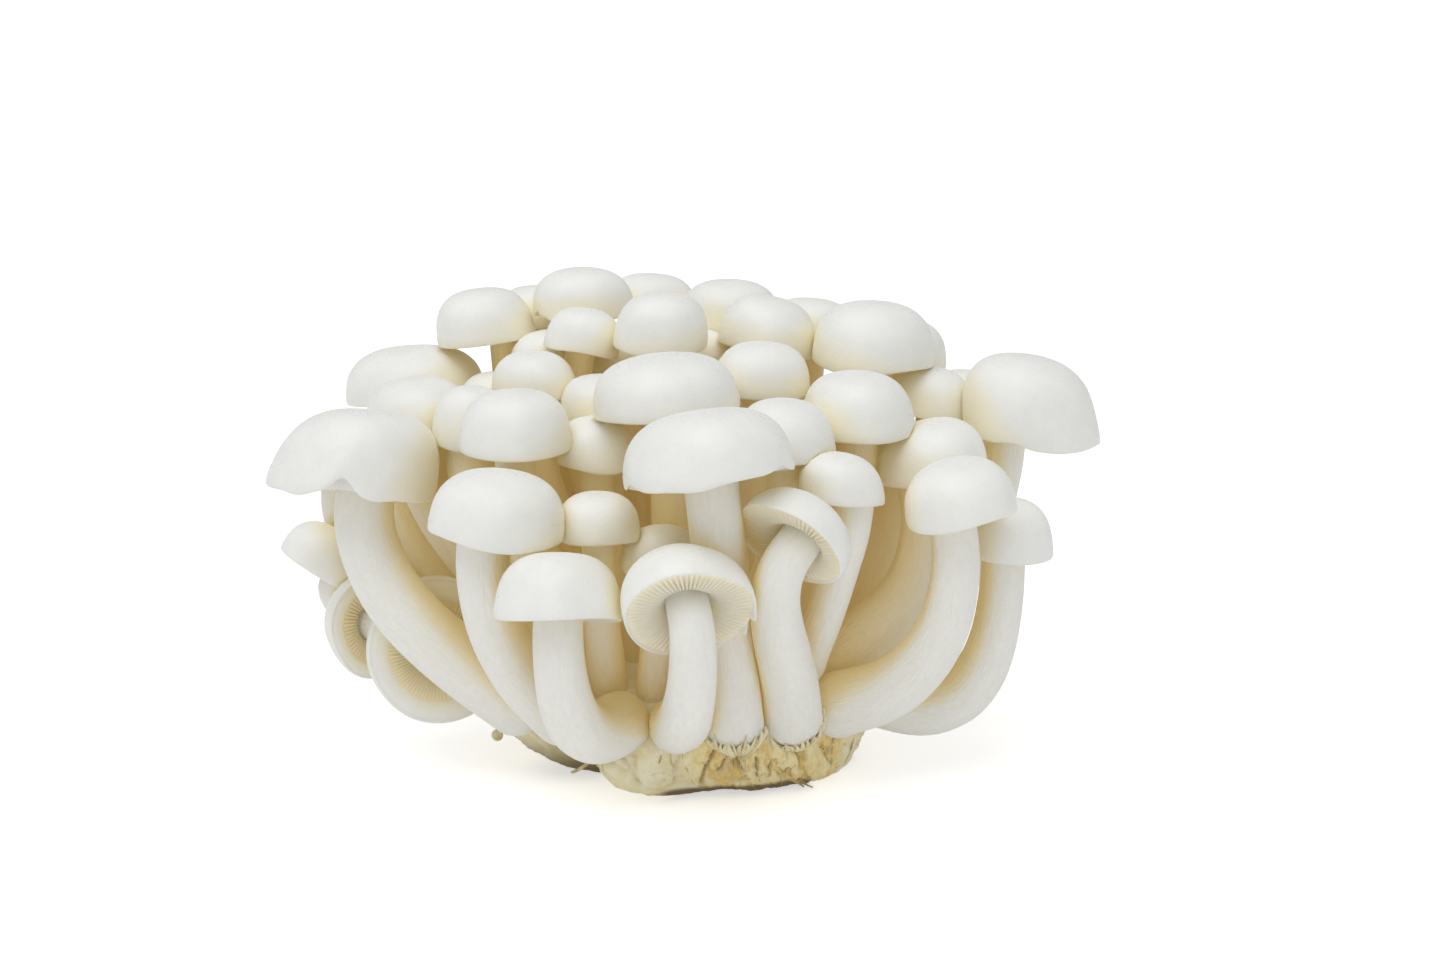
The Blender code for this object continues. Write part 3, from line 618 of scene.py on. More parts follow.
def sew(lower, upper):
    a, b = len(lower), len(upper)
    if a == b:
        return [(lower[i - 1], lower[i], upper[i], upper[i - 1]) for i in range(a)]
    found = []
    i = j = 0
    while i < a or j < b:
        if j * a <= i * b and j < b:
            found.append((lower[i % a], upper[(j + 1) % b], upper[j % b]))
            j += 1
        else:
            found.append((lower[i % a], lower[(i + 1) % a], upper[j % b]))
            i += 1
    return found


def close(ring, point, upward):
    turned = ring[1:] + ring[:1]
    return [(a, b, point) if upward else (b, a, point) for a, b in zip(ring, turned)]


# %% The skin of one mushroom, as it is gathered
class Skin:
    """Rings of points, each with its heart, its straightened place, and how deep it lies
    between gills; and the faces between the rings, each with a finish."""

    def __init__(self):
        self.points, self.hearts, self.grown, self.valley = [], [], [], []
        self.faces, self.finish = [], []
        self.count = 0
        self.last = None

    def add(self, points, heart, grown, valley, finish):
        count = len(points)
        self.points.append(points)
        self.hearts.append(np.broadcast_to(heart, points.shape))
        self.grown.append(grown)
        self.valley.append(np.broadcast_to(valley, count))
        numbers = list(range(self.count, self.count + count))
        if self.last is not None:
            self.give(sew(self.last, numbers), finish)
        self.count += count
        self.last = numbers

    def tip(self, ring, point, grown, upward, finish):
        self.points.append(point[None])
        self.hearts.append(point[None])
        self.grown.append(grown[None])
        self.valley.append(np.zeros(1))
        self.give(close(ring, self.count, upward), finish)
        self.count += 1

    def give(self, faces, finish):
        self.faces += faces
        self.finish += [finish] * len(faces)


STEM, GILL, CAP = range(3)

# %% [markdown]
# The stem
#
# A beech mushroom's stem is not quite round: it is fluted lengthwise by a few tenths of a
# millimetre, thicker at the foot, and its foot is rounded off where it leaves the base.
# The flutes come from noise on a cylinder, so they run along the stem and close round it.

# %% Stem rings
STEM_SIDES = 36
FOOT_ROWS = 6
FLUTE_SIZE = 0.045
FINE_FLUTES = 0.45
FLUTE_LENGTH = 26.0
FLUTE_GRAIN = 1.1
FINE_GRAIN = 3.2
STEM_SHIFT = 7.3
NECK_PARTS = 6
FOOT_DEPTH = 0.8
APART = 90.0


def stem_frames(plant):
    """Two directions across the stem at each row, turned as little as possible. In the
    last of its parts the stem turns to the cap's axis."""
    tangents = unit(np.gradient(plant.fine_line, axis=0))
    blend = np.linspace(1 - NECK_PARTS, 1, STEM_ROWS).clip(0, 1)[:, None]
    tangents = unit(tangents * (1 - blend) + plant.axis * blend)
    frames = []
    u = plant.sides[0]
    for tangent in tangents[::-1]:
        u = unit(u - (u @ tangent) * tangent)
        frames.append((u, np.cross(tangent, u), tangent))
    return frames[::-1]


def flutes(number, angle, length):
    """How much fuller than round the stem is at each angle."""
    shift, along = number * STEM_SHIFT, length / FLUTE_LENGTH
    found = []
    for x, y in zip(np.cos(angle), np.sin(angle)):
        broad = noise.noise((x * FLUTE_GRAIN + shift, y * FLUTE_GRAIN, along))
        fine = noise.noise((x * FINE_GRAIN + shift, y * FINE_GRAIN, along))
        found.append(broad + FINE_FLUTES * fine)
    return np.array(found)


def add_stem(skin, plant, number):
    angle = turn(STEM_SIDES)
    across, deep = np.cos(angle)[:, None], np.sin(angle)[:, None]
    frames = stem_frames(plant)
    length = np.append(0, plant.steps.cumsum())
    thickness = plant.thick_in(STEM_ROWS)
    foot, tangent = plant.fine_line[0], frames[0][2]
    drop = FOOT_DEPTH * thickness[0]
    rows = []
    for a in np.radians(90 * (1 - np.arange(1, FOOT_ROWS) / FOOT_ROWS)):
        rows.append((foot - drop * math.sin(a) * tangent, thickness[0] * math.cos(a), 0, 0.0))
    rows += [(c, r, k, s) for k, (c, r, s) in enumerate(zip(plant.fine_line, thickness, length))]
    for centre, radius, k, along in rows:
        u, v, _ = frames[k]
        full = radius * (1 + FLUTE_SIZE * flutes(number, angle, along))[:, None]
        points = centre + full * (across * u + deep * v)
        straight = [radius * across + APART * number, radius * deep, np.full_like(full, along)]
        skin.add(points, centre, np.hstack(straight), 0.0, STEM)
    straight = np.array([APART * number, 0.0, 0.0])
    skin.tip(list(range(STEM_SIDES)), foot - drop * tangent, straight, False, STEM)


# %% [markdown]
# The gills
#
# Under the cap, thin blades run from the stem to the rim. They are attached to the stem
# and hang lowest near the rim. Each blade gets four points in a ring: two for its edge
# and two for the bottom of the valley beside it. That makes real relief which catches
# light from below, where a bump map would look flat at the edges. On the two lowest caps
# at the left the rim rolls far in under the gills, so their blades end sooner.

# %% Gill rings
BLADES_PER_MM = 6.0
BLADE_PROFILE = (0.0, 0.0, 1.0, 1.0)
BLADE_STARTS = (0.0, 0.34, 0.5, 0.84)
GILL_REACHES = (0.02, 0.09, 0.2, 0.36, 0.55, 0.73, 0.87, 0.96, 1.0)
GILL_DEPTH = 0.075
GILL_SLOPE = 5.0
GILL_SWELL = 0.7
GILL_FULLNESS = 0.8
GILL_LEVEL = 0.02
CAP_APART = 300
RIM_INNER = 0.95
ROLLED_INNER = {37: 0.74, 38: 0.7}


def cap_ring(plant, angle, share, height, lift=0.0, middle=(0, 0)):
    """A ring of the cap: share of the radius and of the height, with lift round it."""
    reach = plant.radius * share * (1 + wave(plant.waves, angle))
    up = plant.height * (height + lift + (1 - height) * share**2 * wave(plant.dips, angle))
    across = reach * np.cos(angle) + plant.radius * middle[0]
    deep = reach * np.sin(angle) + plant.radius * middle[1]
    points = plant.rim + across[:, None] * plant.sides[0] + deep[:, None] * plant.sides[1]
    return points + up[:, None] * plant.axis


def cap_grown(plant, number, angle, share, height):
    flat = plant.radius * share
    across, deep = flat * np.cos(angle) + APART * number, flat * np.sin(angle)
    up = np.full(len(angle), plant.height * height) + CAP_APART
    return np.stack([across, deep, up], axis=1)


def blade_angles(count):
    starts = np.arange(count)[:, None] + np.array(BLADE_STARTS)
    return starts.ravel() * FULL_TURN / count


def add_gills(skin, plant, number):
    count = round(BLADES_PER_MM * plant.radius)
    angle = blade_angles(count)
    valley = np.tile(BLADE_PROFILE, count)
    heart = plant.rim + ORIGIN_HEIGHT * plant.height * plant.axis
    neck = plant.thickness[-1] / plant.radius
    seat = np.array(plant.wish.seat)
    inner = ROLLED_INNER.get(number, RIM_INNER)
    for q in GILL_REACHES:
        share = neck + (inner - neck) * q
        level = GILL_LEVEL + (JOINT_HEIGHT - GILL_LEVEL) * (1 - q) ** GILL_SLOPE
        depth = GILL_DEPTH * math.sin(math.pi * q**GILL_SWELL) ** GILL_FULLNESS if q < 1 else 0.0
        points = cap_ring(plant, angle, share, level, depth * valley, middle=seat * (1 - q))
        grown = cap_grown(plant, number, angle, share, level)
        skin.add(points, heart, grown, valley * (depth / GILL_DEPTH), GILL)
    return count


# %% [markdown]
# The rim and the dome
#
# The rim is rolled in: seen from below it is a smooth white lip round the gills. From
# there the skin goes over the widest part and up the dome, which is slightly squarer than
# a ball and carries a few soft dents, since no cap is perfectly even. The rolled-in caps
# get a thick lip first, from where their gills end to the usual rim. A few caps have a
# torn or turned-up place in the rim, given as a bearing, a width and a rise.

# %% Rim and dome rings
RIM_ROWS = (
    (0.96, 0.004),
    (0.971, -0.01),
    (0.983, -0.014),
    (0.993, 0.0),
    (1.0, 0.03),
    (1.003, 0.09),
    (1.003, 0.17),
)
LIP_REACHES = (0.12, 0.35, 0.65, 0.9)
LIP_DEPTH = 0.05
DOME_SQUARENESS = 2.75
DOME_FROM = 14.0
DOME_TO = 86.0
DOME_ROWS = 13
FINE_RIM_ROWS = 3
NICK_FADE = (1.3, 2.2)
DENT_SIZE = 0.022
DENT_SPACING = 0.75
DENT_SHIFT = 3.7
DENT_AT_RIM = 0.3
DENT_GROWTH = 3

Nick = namedtuple("Nick", "bearing width rise")
NICKS = {
    2: (Nick(205, 9, 0.16), Nick(222, 5, 0.1)),
    22: (Nick(200, 12, 0.1), Nick(262, 16, -0.05), Nick(330, 10, 0.08)),
    30: (Nick(190, 16, 0.08), Nick(240, 14, -0.08), Nick(270, 8, 0.16), Nick(292, 12, -0.05)),
    35: (
        Nick(20, 7, -0.12), Nick(33, 4, 0.25), Nick(43, 4, -0.08),
        Nick(54, 5, 0.28), Nick(66, 5, 0.06),
    ),
    17: (Nick(0, 14, -0.06), Nick(250, 12, 0.05)),
}


def rim_rise(number, angle):
    """How far nicks raise the rim at each angle, as a share of the cap's height."""
    total = np.zeros(len(angle))
    for nick in NICKS.get(number, ()):
        away = (np.degrees(angle) - nick.bearing + 180) % 360 - 180
        total += nick.rise * np.exp(-((away / nick.width) ** 2))
    return total


def dents(number, angle, share, height):
    """How far the skin stands out or in at each angle, from about -1 to 1."""
    spots = zip(share * np.cos(angle), share * np.sin(angle))
    shift = number * DENT_SHIFT
    scale = 1 / DENT_SPACING
    return np.array([noise.noise((x * scale + shift, y * scale, height * scale)) for x, y in spots])


def add_cap(skin, plant, number, blades):
    heart = plant.rim + ORIGIN_HEIGHT * plant.height * plant.axis
    fall = np.radians(np.linspace(DOME_FROM, DOME_TO, DOME_ROWS))
    power = 2 / DOME_SQUARENESS
    dome = list(zip(np.cos(fall) ** power, np.sin(fall) ** power))
    inner = ROLLED_INNER.get(number, RIM_INNER)
    lip = []
    if inner < RIM_INNER:
        lip = [(inner + q * (RIM_INNER - inner), -LIP_DEPTH * q**0.5) for q in LIP_REACHES]
    for k, (share, height) in enumerate([*lip, *RIM_ROWS, *dome]):
        angle = turn(2 * blades if k < len(lip) + FINE_RIM_ROWS else blades)
        rise = rim_rise(number, angle) * np.clip(NICK_FADE[0] - NICK_FADE[1] * height, 0, 1)
        dented = min(1.0, height * DENT_GROWTH + DENT_AT_RIM)
        swell = 1 + DENT_SIZE * dents(number, angle, share, height) * dented
        aside = max(height, 0) * plant.skew
        points = cap_ring(plant, angle, share * swell, height, rise, middle=aside)
        skin.add(points, heart, cap_grown(plant, number, angle, share, height), 0.0, CAP)
    peak = plant.rim + plant.reach_up(*plant.skew, 1)
    straight = np.array([APART * number, 0.0, CAP_APART + plant.height])
    skin.tip(skin.last, peak, straight, True, CAP)


# %% [markdown]
# Shade painted into the skin
#
# Deep between the stems the flesh looks golden, because light that gets in there has
# bounced off cream-coloured flesh many times. Part of that is real light and comes from
# the render. Part is painted shade: a number kept at each point says how hemmed in it is,
# and the finishes paint golden shade from it, so that the colour also stays when the model
# is shown in plain light. Balls along the stems and in the caps stand for the neighbours:
# the nearer, bigger and more squarely faced a ball is, the more sky it hides.

# %% Measure how hemmed in a point is
SHADE_BALLS = 15
SHADE_REACH = 34.0
SHADE_STRENGTH = 0.62
SHADE_SOFTNESS = 0.1
SHADE_STEM = 0.85
SHADE_BATCH = 2000


def shade_balls(plant):
    """Places and sizes of the balls that stand for one mushroom."""
    line = smooth_line(plant.line, SHADE_BALLS)
    cap, size = plant.cap_balls()
    thick = plant.thick_in(SHADE_BALLS) * SHADE_STEM
    return np.vstack([line, plant.rim + cap]), np.append(thick, size)


all_balls = [shade_balls(plant) for plant in plants]
ball_places = np.vstack([places for places, _ in all_balls])
ball_sizes = np.concatenate([size for _, size in all_balls])
ball_owner = np.repeat(np.arange(len(plants)), SHADE_BALLS + CAP_BALLS)
print("balls that give shade:", len(ball_places))


def hemmed_in(points, facing, owner):
    """0 in the open and up to 1 in a deep crevice."""
    low, high = points.min(0) - SHADE_REACH, points.max(0) + SHADE_REACH
    use = ((ball_places > low) & (ball_places < high)).all(1) & (ball_owner != owner)
    places, sizes = ball_places[use], ball_sizes[use]
    total = np.zeros(len(points))
    for start in range(0, len(points), SHADE_BATCH):
        some = slice(start, start + SHADE_BATCH)
        away = places[None] - points[some, None]
        far = np.linalg.norm(away, axis=2) + 1e-6
        towards = np.einsum("nmk,nk->nm", away, facing[some]) / far
        faced = np.clip(towards + SHADE_SOFTNESS, 0, 1)
        total[some] = (faced * np.minimum(sizes / far, 1) ** 2).sum(1)
    return 1 - np.exp(-SHADE_STRENGTH * total)


# %% [markdown]
# Materials: tools
#
# A material is a small network of nodes. These helpers add a node with its settings in
# one line. Effects that several finishes share are node groups: one for the painted golden
# shade and painted glow of crevices, one for streaks along the growth, and one for soft
# cloudy variation.

# %% Node helpers
# A mix node has several sockets of one name, so its colour sockets go by number.
MIX_FIRST = 6
MIX_SECOND = 7
MIX_RESULT = 2


def feed(tree, node, values):
    """Sets inputs of a node; a value that is the socket of another node is linked."""
    for name, value in values.items():
        socket = node.inputs[name]
        if isinstance(value, bpy.types.NodeSocket):
            tree.links.new(value, socket)
        else:
            socket.default_value = value
    return node


def add_node(tree, kind, inputs=None, **settings):
    made = tree.nodes.new(kind)
    for name, value in settings.items():
        setattr(made, name, value)
    return feed(tree, made, inputs or {})


def new_group(name, inputs, outputs):
    """A node group; inputs and outputs map each name to its kind and default."""
    group = bpy.data.node_groups.new(name, "ShaderNodeTree")
    for way, sockets in (("INPUT", inputs), ("OUTPUT", outputs)):
        for label, (kind, default) in sockets.items():
            kind = "NodeSocket" + kind
            socket = group.interface.new_socket(name=label, in_out=way, socket_type=kind)
            if default is not None:
                socket.default_value = default
    source = group.nodes.new("NodeGroupInput")
    sink = group.nodes.new("NodeGroupOutput")
    return group, source.outputs, sink.inputs


def place_group(tree, group, **inputs):
    made = add_node(tree, "ShaderNodeGroup", node_tree=group)
    return feed(tree, made, {name.capitalize(): value for name, value in inputs.items()}).outputs


def mask_node(tree, value, low, high, top=1.0):
    """0 where the value is low, rising smoothly to top where it is high."""
    given = {"Value": value, "From Min": low, "From Max": high, "To Min": 0.0, "To Max": top}
    return add_node(tree, "ShaderNodeMapRange", given, interpolation_type="SMOOTHSTEP").outputs[0]


def mix_node(tree, share, one, other):
    made = add_node(tree, "ShaderNodeMix", {"Factor": share}, data_type="RGBA")
    one, other = ((*c, 1) if isinstance(c, tuple) else c for c in (one, other))
    return feed(tree, made, {MIX_FIRST: one, MIX_SECOND: other}).outputs[MIX_RESULT]


def noise_node(tree, place, scale, detail, roughness=0.5):
    """Noise from 0 to 1 at a place; a larger scale gives finer spots."""
    given = {"Vector": place, "Scale": scale, "Detail": detail, "Roughness": roughness}
    return add_node(tree, "ShaderNodeTexNoise", given).outputs["Fac"]


def math_node(tree, way, one, other):
    return add_node(tree, "ShaderNodeMath", {0: one, 1: other}, operation=way).outputs[0]


def value_at(tree, name):
    """What was kept at each point of the mesh under a name."""
    return add_node(tree, "ShaderNodeAttribute", attribute_name=name).outputs


# %% Shared effects
# Where the painted glow of the crevices starts and where it is full.
GLOW_RANGE = (0.3, 1.0)


def make_crevice_group():
    """Paints golden shade over a colour, and a painted glow, where the skin is hemmed in."""
    inputs = {
        "Open": ("Color", (1, 1, 1, 1)),
        "Crevice": ("Color", (0.8, 0.6, 0.3, 1)),
        "Starts": ("Float", 0.3),
        "Full": ("Float", 0.95),
        "Strength": ("Float", 0.8),
        "Glow": ("Color", (1.0, 0.78, 0.34, 1)),
    }
    outputs = {"Colour": ("Color", None), "Glow": ("Color", None)}
    group, given, wanted = new_group("crevice_tint", inputs, outputs)
    hemmed = value_at(group, "hemmed")["Fac"]
    share = mask_node(group, hemmed, given["Starts"], given["Full"], given["Strength"])
    with_painted_shade = mix_node(group, share, given["Open"], given["Crevice"])
    glow = mix_node(group, mask_node(group, hemmed, *GLOW_RANGE), (0, 0, 0), given["Glow"])
    group.links.new(with_painted_shade, wanted["Colour"])
    group.links.new(glow, wanted["Glow"])
    return group


def make_streak_group():
    """Fine streaks that run along the growth, from the straightened place on the skin."""
    inputs = {"Fineness": ("Float", 2.0), "Length": ("Float", 0.1), "Detail": ("Float", 4.0)}
    group, given, wanted = new_group("growth_streaks", inputs, {"Streaks": ("Float", None)})
    place = value_at(group, "grown")["Vector"]
    factors = {"X": 1.0, "Y": 1.0, "Z": given["Length"]}
    squeeze = add_node(group, "ShaderNodeCombineXYZ", factors).outputs[0]
    squeezed = add_node(group, "ShaderNodeVectorMath", {0: place, 1: squeeze}, operation="MULTIPLY")
    streaks = noise_node(group, squeezed.outputs[0], given["Fineness"], given["Detail"], 0.6)
    group.links.new(streaks, wanted["Streaks"])
    return group


def make_cloud_group():
    """Soft clouds in the flesh, at a size given in parts of a millimetre."""
    inputs = {"Fineness": ("Float", 0.3), "Detail": ("Float", 3.0)}
    group, given, wanted = new_group("flesh_clouds", inputs, {"Clouds": ("Float", None)})
    place = value_at(group, "grown")["Vector"]
    clouds = noise_node(group, place, given["Fineness"], given["Detail"], 0.55)
    group.links.new(clouds, wanted["Clouds"])
    return group


crevice_tint = make_crevice_group()
growth_streaks = make_streak_group()
flesh_clouds = make_cloud_group()
print("shared effects:", [g.name for g in bpy.data.node_groups])

# %% [markdown]
# Finishes of the mushroom
#
# The cap's skin is satin and a cool white. The stem is creamier, duller, and finely
# streaked along its length. The gills are cream, with painted tan shade down in the
# valleys. Light goes a little way into all three, which softens the shadows, so each has
# some subsurface scattering with a warm colour. All three get painted golden shade where
# they are hemmed in, and a very faint painted warm glow in the crevices stands in for the
# light that comes through the flesh from the other side.

# %% Flesh materials
FLESH_SCATTER = (1.0, 0.92, 0.78)
SCATTER_REACH = 0.003
CAP_WHITES = (0.87, 0.877, 0.845), (0.9, 0.905, 0.875)
# Painted golden shade for the hemmed-in places of the cap.
CAP_CREVICE_SHADE = (0.95, 0.88, 0.65, 1)
STEM_CREAMS = (0.92, 0.914, 0.865), (0.94, 0.936, 0.895)
STEM_STREAK = (0.87, 0.85, 0.76)
# Painted golden shade for the hemmed-in places of the stem.
STEM_CREVICE_SHADE = (0.91, 0.72, 0.29, 1)
GILL_CREAMS = (0.92, 0.86, 0.67), (0.93, 0.88, 0.73)
# Painted tan shade down between the gill blades, and painted golden shade where the gills are
# hemmed in.
GILL_VALLEY_SHADE = (0.89, 0.81, 0.59)
GILL_CREVICE_SHADE = (0.93, 0.79, 0.45, 1)


def new_flesh(name, roughness, scatter, glow=0.0):
    material = bpy.data.materials.new(name)
    material.use_nodes = True
    tree = material.node_tree
    looks = {
        "Metallic": 0.0,
        "Roughness": roughness,
        "Subsurface Weight": scatter,
        "Subsurface Radius": FLESH_SCATTER,
        "Subsurface Scale": SCATTER_REACH,
        "Emission Strength": glow,
    }
    return material, tree, feed(tree, tree.nodes["Principled BSDF"], looks)


def set_colour_with_painted_shade(tree, shader, colour, crevice, starts, full):
    """Gives the shader its colour, with the painted golden shade and the painted glow of the
    crevices.
    """
    shaded_colour = place_group(tree, crevice_tint, open=colour, crevice=crevice, starts=starts, full=full)
    feed(tree, shader, {"Base Color": shaded_colour["Colour"], "Emission Color": shaded_colour["Glow"]})


def set_bump(tree, shader, height, distance, strength=1.0):
    given = {"Height": height, "Distance": distance, "Strength": strength}
    feed(tree, shader, {"Normal": add_node(tree, "ShaderNodeBump", given).outputs[0]})


def make_cap_skin():
    material, tree, shader = new_flesh("cap_skin", 0.46, 0.38, 0.03)
    clouds = place_group(tree, flesh_clouds, fineness=0.22, detail=4.0)["Clouds"]
    white = mix_node(tree, mask_node(tree, clouds, 0.35, 0.7), *CAP_WHITES)
    set_colour_with_painted_shade(tree, shader, white, CAP_CREVICE_SHADE, 0.52, 1.0)
    fine = place_group(tree, flesh_clouds, fineness=2.4, detail=5.0)["Clouds"]
    feed(tree, shader, {"Roughness": mask_node(tree, fine, 0.0, 1.0, 0.9)})
    set_bump(tree, shader, fine, 0.00008)
    return material


def make_stem_flesh():
    material, tree, shader = new_flesh("stem_flesh", 0.55, 0.5, 0.05)
    streaks = place_group(tree, growth_streaks, fineness=2.6, length=0.12, detail=5.0)["Streaks"]
    clouds = place_group(tree, flesh_clouds, fineness=0.9, detail=5.0)["Clouds"]
    soft = mix_node(tree, mask_node(tree, clouds, 0.3, 0.75), *STEM_CREAMS)
    streaked = mix_node(tree, mask_node(tree, streaks, 0.45, 0.75, 0.55), soft, STEM_STREAK)
    set_colour_with_painted_shade(tree, shader, streaked, STEM_CREVICE_SHADE, 0.5, 0.95)
    set_bump(tree, shader, streaks, 0.0003)
    return material


def make_gill_flesh():
    material, tree, shader = new_flesh("gill_flesh", 0.6, 0.4, 0.03)
    streaks = place_group(tree, growth_streaks, fineness=1.1, length=1.0, detail=4.0)["Streaks"]
    blade = mix_node(tree, mask_node(tree, streaks, 0.3, 0.75), *GILL_CREAMS)
    # Painted shade: the blades turn tan down in the valleys between them.
    shaded = mix_node(tree, value_at(tree, "valley")["Fac"], blade, GILL_VALLEY_SHADE)
    set_colour_with_painted_shade(tree, shader, shaded, GILL_CREVICE_SHADE, 0.35, 0.95)
    set_bump(tree, shader, streaks, 0.0001)
    return material


cap_skin, stem_flesh, gill_flesh = make_cap_skin(), make_stem_flesh(), make_gill_flesh()
print("finishes:", [m.name for m in (cap_skin, stem_flesh, gill_flesh)])

# %% [markdown]
# Making the pieces
#
# A piece is a mesh with its finishes, its values at each point, and its place in the
# imported model: what it rides on, and which solid it stands for.

# %% Make one piece
def make_mesh(name, points, faces, materials, finish=None):
    mesh = bpy.data.meshes.new(name)
    mesh.from_pydata((np.asarray(points) * METRES_PER_MM).tolist(), [], faces)
    for material in materials:
        mesh.materials.append(material)
    if finish is not None:
        mesh.polygons.foreach_set("material_index", finish)
    mesh.shade_smooth()
    return mesh


def triangles(pieces):
    return sum(len(face.vertices) - 2 for piece in pieces for face in piece.data.polygons)


def facing_of(mesh):
    found = np.empty(len(mesh.vertices) * 3)
    mesh.vertex_normals.foreach_get("vector", found)
    return found.reshape(-1, 3)


def set_value(mesh, name, values):
    attribute = mesh.attributes.new(name, "FLOAT", "POINT")
    attribute.data.foreach_set("value", np.asarray(values, np.float32))


def set_place(mesh, name, values):
    attribute = mesh.attributes.new(name, "FLOAT_VECTOR", "POINT")
    attribute.data.foreach_set("vector", np.asarray(values, np.float32).ravel())


def place_piece(name, mesh, replaces=None):
    piece = bpy.data.objects.new(name, mesh)
    bpy.context.scene.collection.objects.link(piece)
    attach(piece, "root")
    if replaces:
        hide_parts(replaces)
    return piece


# %% Make the mushrooms
def make_mushroom(number, plant):
    skin = Skin()
    add_stem(skin, plant, number)
    blades = add_gills(skin, plant, number)
    add_cap(skin, plant, number, blades)
    points = press(number - 1, np.vstack(skin.points), np.vstack(skin.hearts))
    name = f"mushroom_{number:02d}"
    flesh = (stem_flesh, gill_flesh, cap_skin)
    mesh = make_mesh(name + "_skin", points, skin.faces, flesh, skin.finish)
    set_place(mesh, "grown", np.vstack(skin.grown))
    set_value(mesh, "valley", np.concatenate(skin.valley))
    # How hemmed in each point is, which the finishes turn into painted golden shade and glow.
    set_value(mesh, "hemmed", hemmed_in(points, facing_of(mesh), number - 1))
    return place_piece(name + "_fine", mesh, name)


mushrooms = [make_mushroom(number, plant) for number, plant in enumerate(plants, start=1)]
print("triangles in the mushrooms:", triangles(mushrooms))

# %% [markdown]
# The root base
#
# The knot is what the threads of the fungus have bound together: creamy folds of felted
# threads at the front left, upright strands in the middle with cracks between them that
# painted shade darkens, and a porous, crumbly crust at the right. It is made as a fine grid
# round the plain shape, and each point moves along the way the surface faces.

# %% The plain surface of the base
FLAT_HALF = (20.0, 17.5)
FLAT_SHIFT = (8.0, 0.0)
FLAT_SQUARENESS = 0.25
WALL_FULLNESS = 0.4
NOTCH_BEARING = math.radians(226)
NOTCH_WIDTH = 0.2
NOTCH_DEPTH = 0.38
BULGE_BEARING = math.radians(254)
BULGE_WIDTH = 0.18
BULGE_DEPTH = 0.25
ROOT_SIDES = 420
UNDER_SHARES = (0.2, 0.45, 0.65, 0.8, 0.9, 0.96)
FIRST_WALL_ROW = len(UNDER_SHARES)
WALL_ROWS = 58
WALL_SPREAD = 1.25
TOP_SHARES = (0.99, 0.97, 0.94, 0.9, 0.84, 0.76, 0.66, 0.54, 0.4, 0.22)


def turned(bearing, other):
    """The angle from one bearing to another, the short way round."""
    return (bearing - other + math.pi) % FULL_TURN - math.pi


def base_outline(bearing, level):
    """How far the base reaches at a bearing, from its underside at 0 to its widest at 1."""
    swell = math.sin(math.pi / 2 * level) ** WALL_FULLNESS
    square = 1 - FLAT_SQUARENESS * (1 - swell)
    sides = math.cos(bearing), math.sin(bearing)
    x, y = (math.copysign(abs(side) ** square, side) for side in sides)
    low, high = FLAT_HALF, (BASE_HALF_WIDTH, BASE_HALF_DEPTH)
    half = [a + (b - a) * swell for a, b in zip(low, high)]
    across = half[0] * x + FLAT_SHIFT[0] * (1 - swell)
    deep = half[1] * y + FLAT_SHIFT[1] * (1 - swell)
    notch = NOTCH_DEPTH * math.exp(-((turned(bearing, NOTCH_BEARING) / NOTCH_WIDTH) ** 2))
    bulge = BULGE_DEPTH * math.exp(-((turned(bearing, BULGE_BEARING) / BULGE_WIDTH) ** 2))
    share = 1 + (bulge - notch) * (1 - level**3)
    return across * share, deep * share


def plain_root():
    """The grid of the base: rings of points from under the middle to the top."""
    bearings = turn(ROOT_SIDES)
    flat = np.array([(*base_outline(b, 0.0), 0.0) for b in bearings])
    middle = np.array([*FLAT_SHIFT, 0.0])
    rows = [middle + share * (flat - middle) for share in UNDER_SHARES]
    for level in np.linspace(0, 1, WALL_ROWS) ** WALL_SPREAD:
        rows.append(np.array([(*base_outline(b, level), level * BASE_WAIST) for b in bearings]))
    for share in TOP_SHARES:
        rise = BASE_WAIST + BASE_CROWN * math.sqrt(1 - share**2)
        x = BASE_HALF_WIDTH * share * np.cos(bearings)
        y = BASE_HALF_DEPTH * share * np.sin(bearings)
        rows.append(np.stack([x, y, np.full(ROOT_SIDES, rise)], axis=1))
    return np.array(rows)


def grid_facing(rows):
    """Which way each point of the grid faces, outward."""
    around = np.roll(rows, -1, axis=1) - np.roll(rows, 1, axis=1)
    up = np.gradient(rows, axis=0)
    return unit(np.cross(around, up) + 1e-9)


root_rows = plain_root()
root_facing = grid_facing(root_rows)
print("grid of the base:", root_rows.shape[:2])

# %% [markdown]
# Relief of the base
#
# Each kind of relief is one small function of the place, in millimetres outwards: broad
# lumps, creases with raised lips drawn as lines seen from the front, chips of wood that
# stand upright, pleats and fibres that run down the wall, felt, and pores. Zones round
# the base say how much of each a place gets.

# %% Zones round the base
Zone = namedtuple("Zone", "much middle half soft")
STRANDED = (Zone(1.0, 300, 24, 10), Zone(0.75, 60, 30, 20), Zone(0.6, 150, 18, 16))
PORED = (Zone(1.0, 342, 18, 14), Zone(0.8, 105, 26, 18), Zone(0.5, 20, 20, 14))
# Where painted shade darkens the bottom edge, and where it reaches higher up on the low left lobe;
# the rest of the edge gets the least of it.
SHADED_EDGE_ZONES = (Zone(1.0, 284, 24, 8), Zone(0.7, 90, 90, 30), Zone(1.0, 221, 8, 6))
SHADED_LOBE_ZONES = (Zone(0.6, 206, 16, 10),)
LEAST_EDGE_SHADE = 0.25


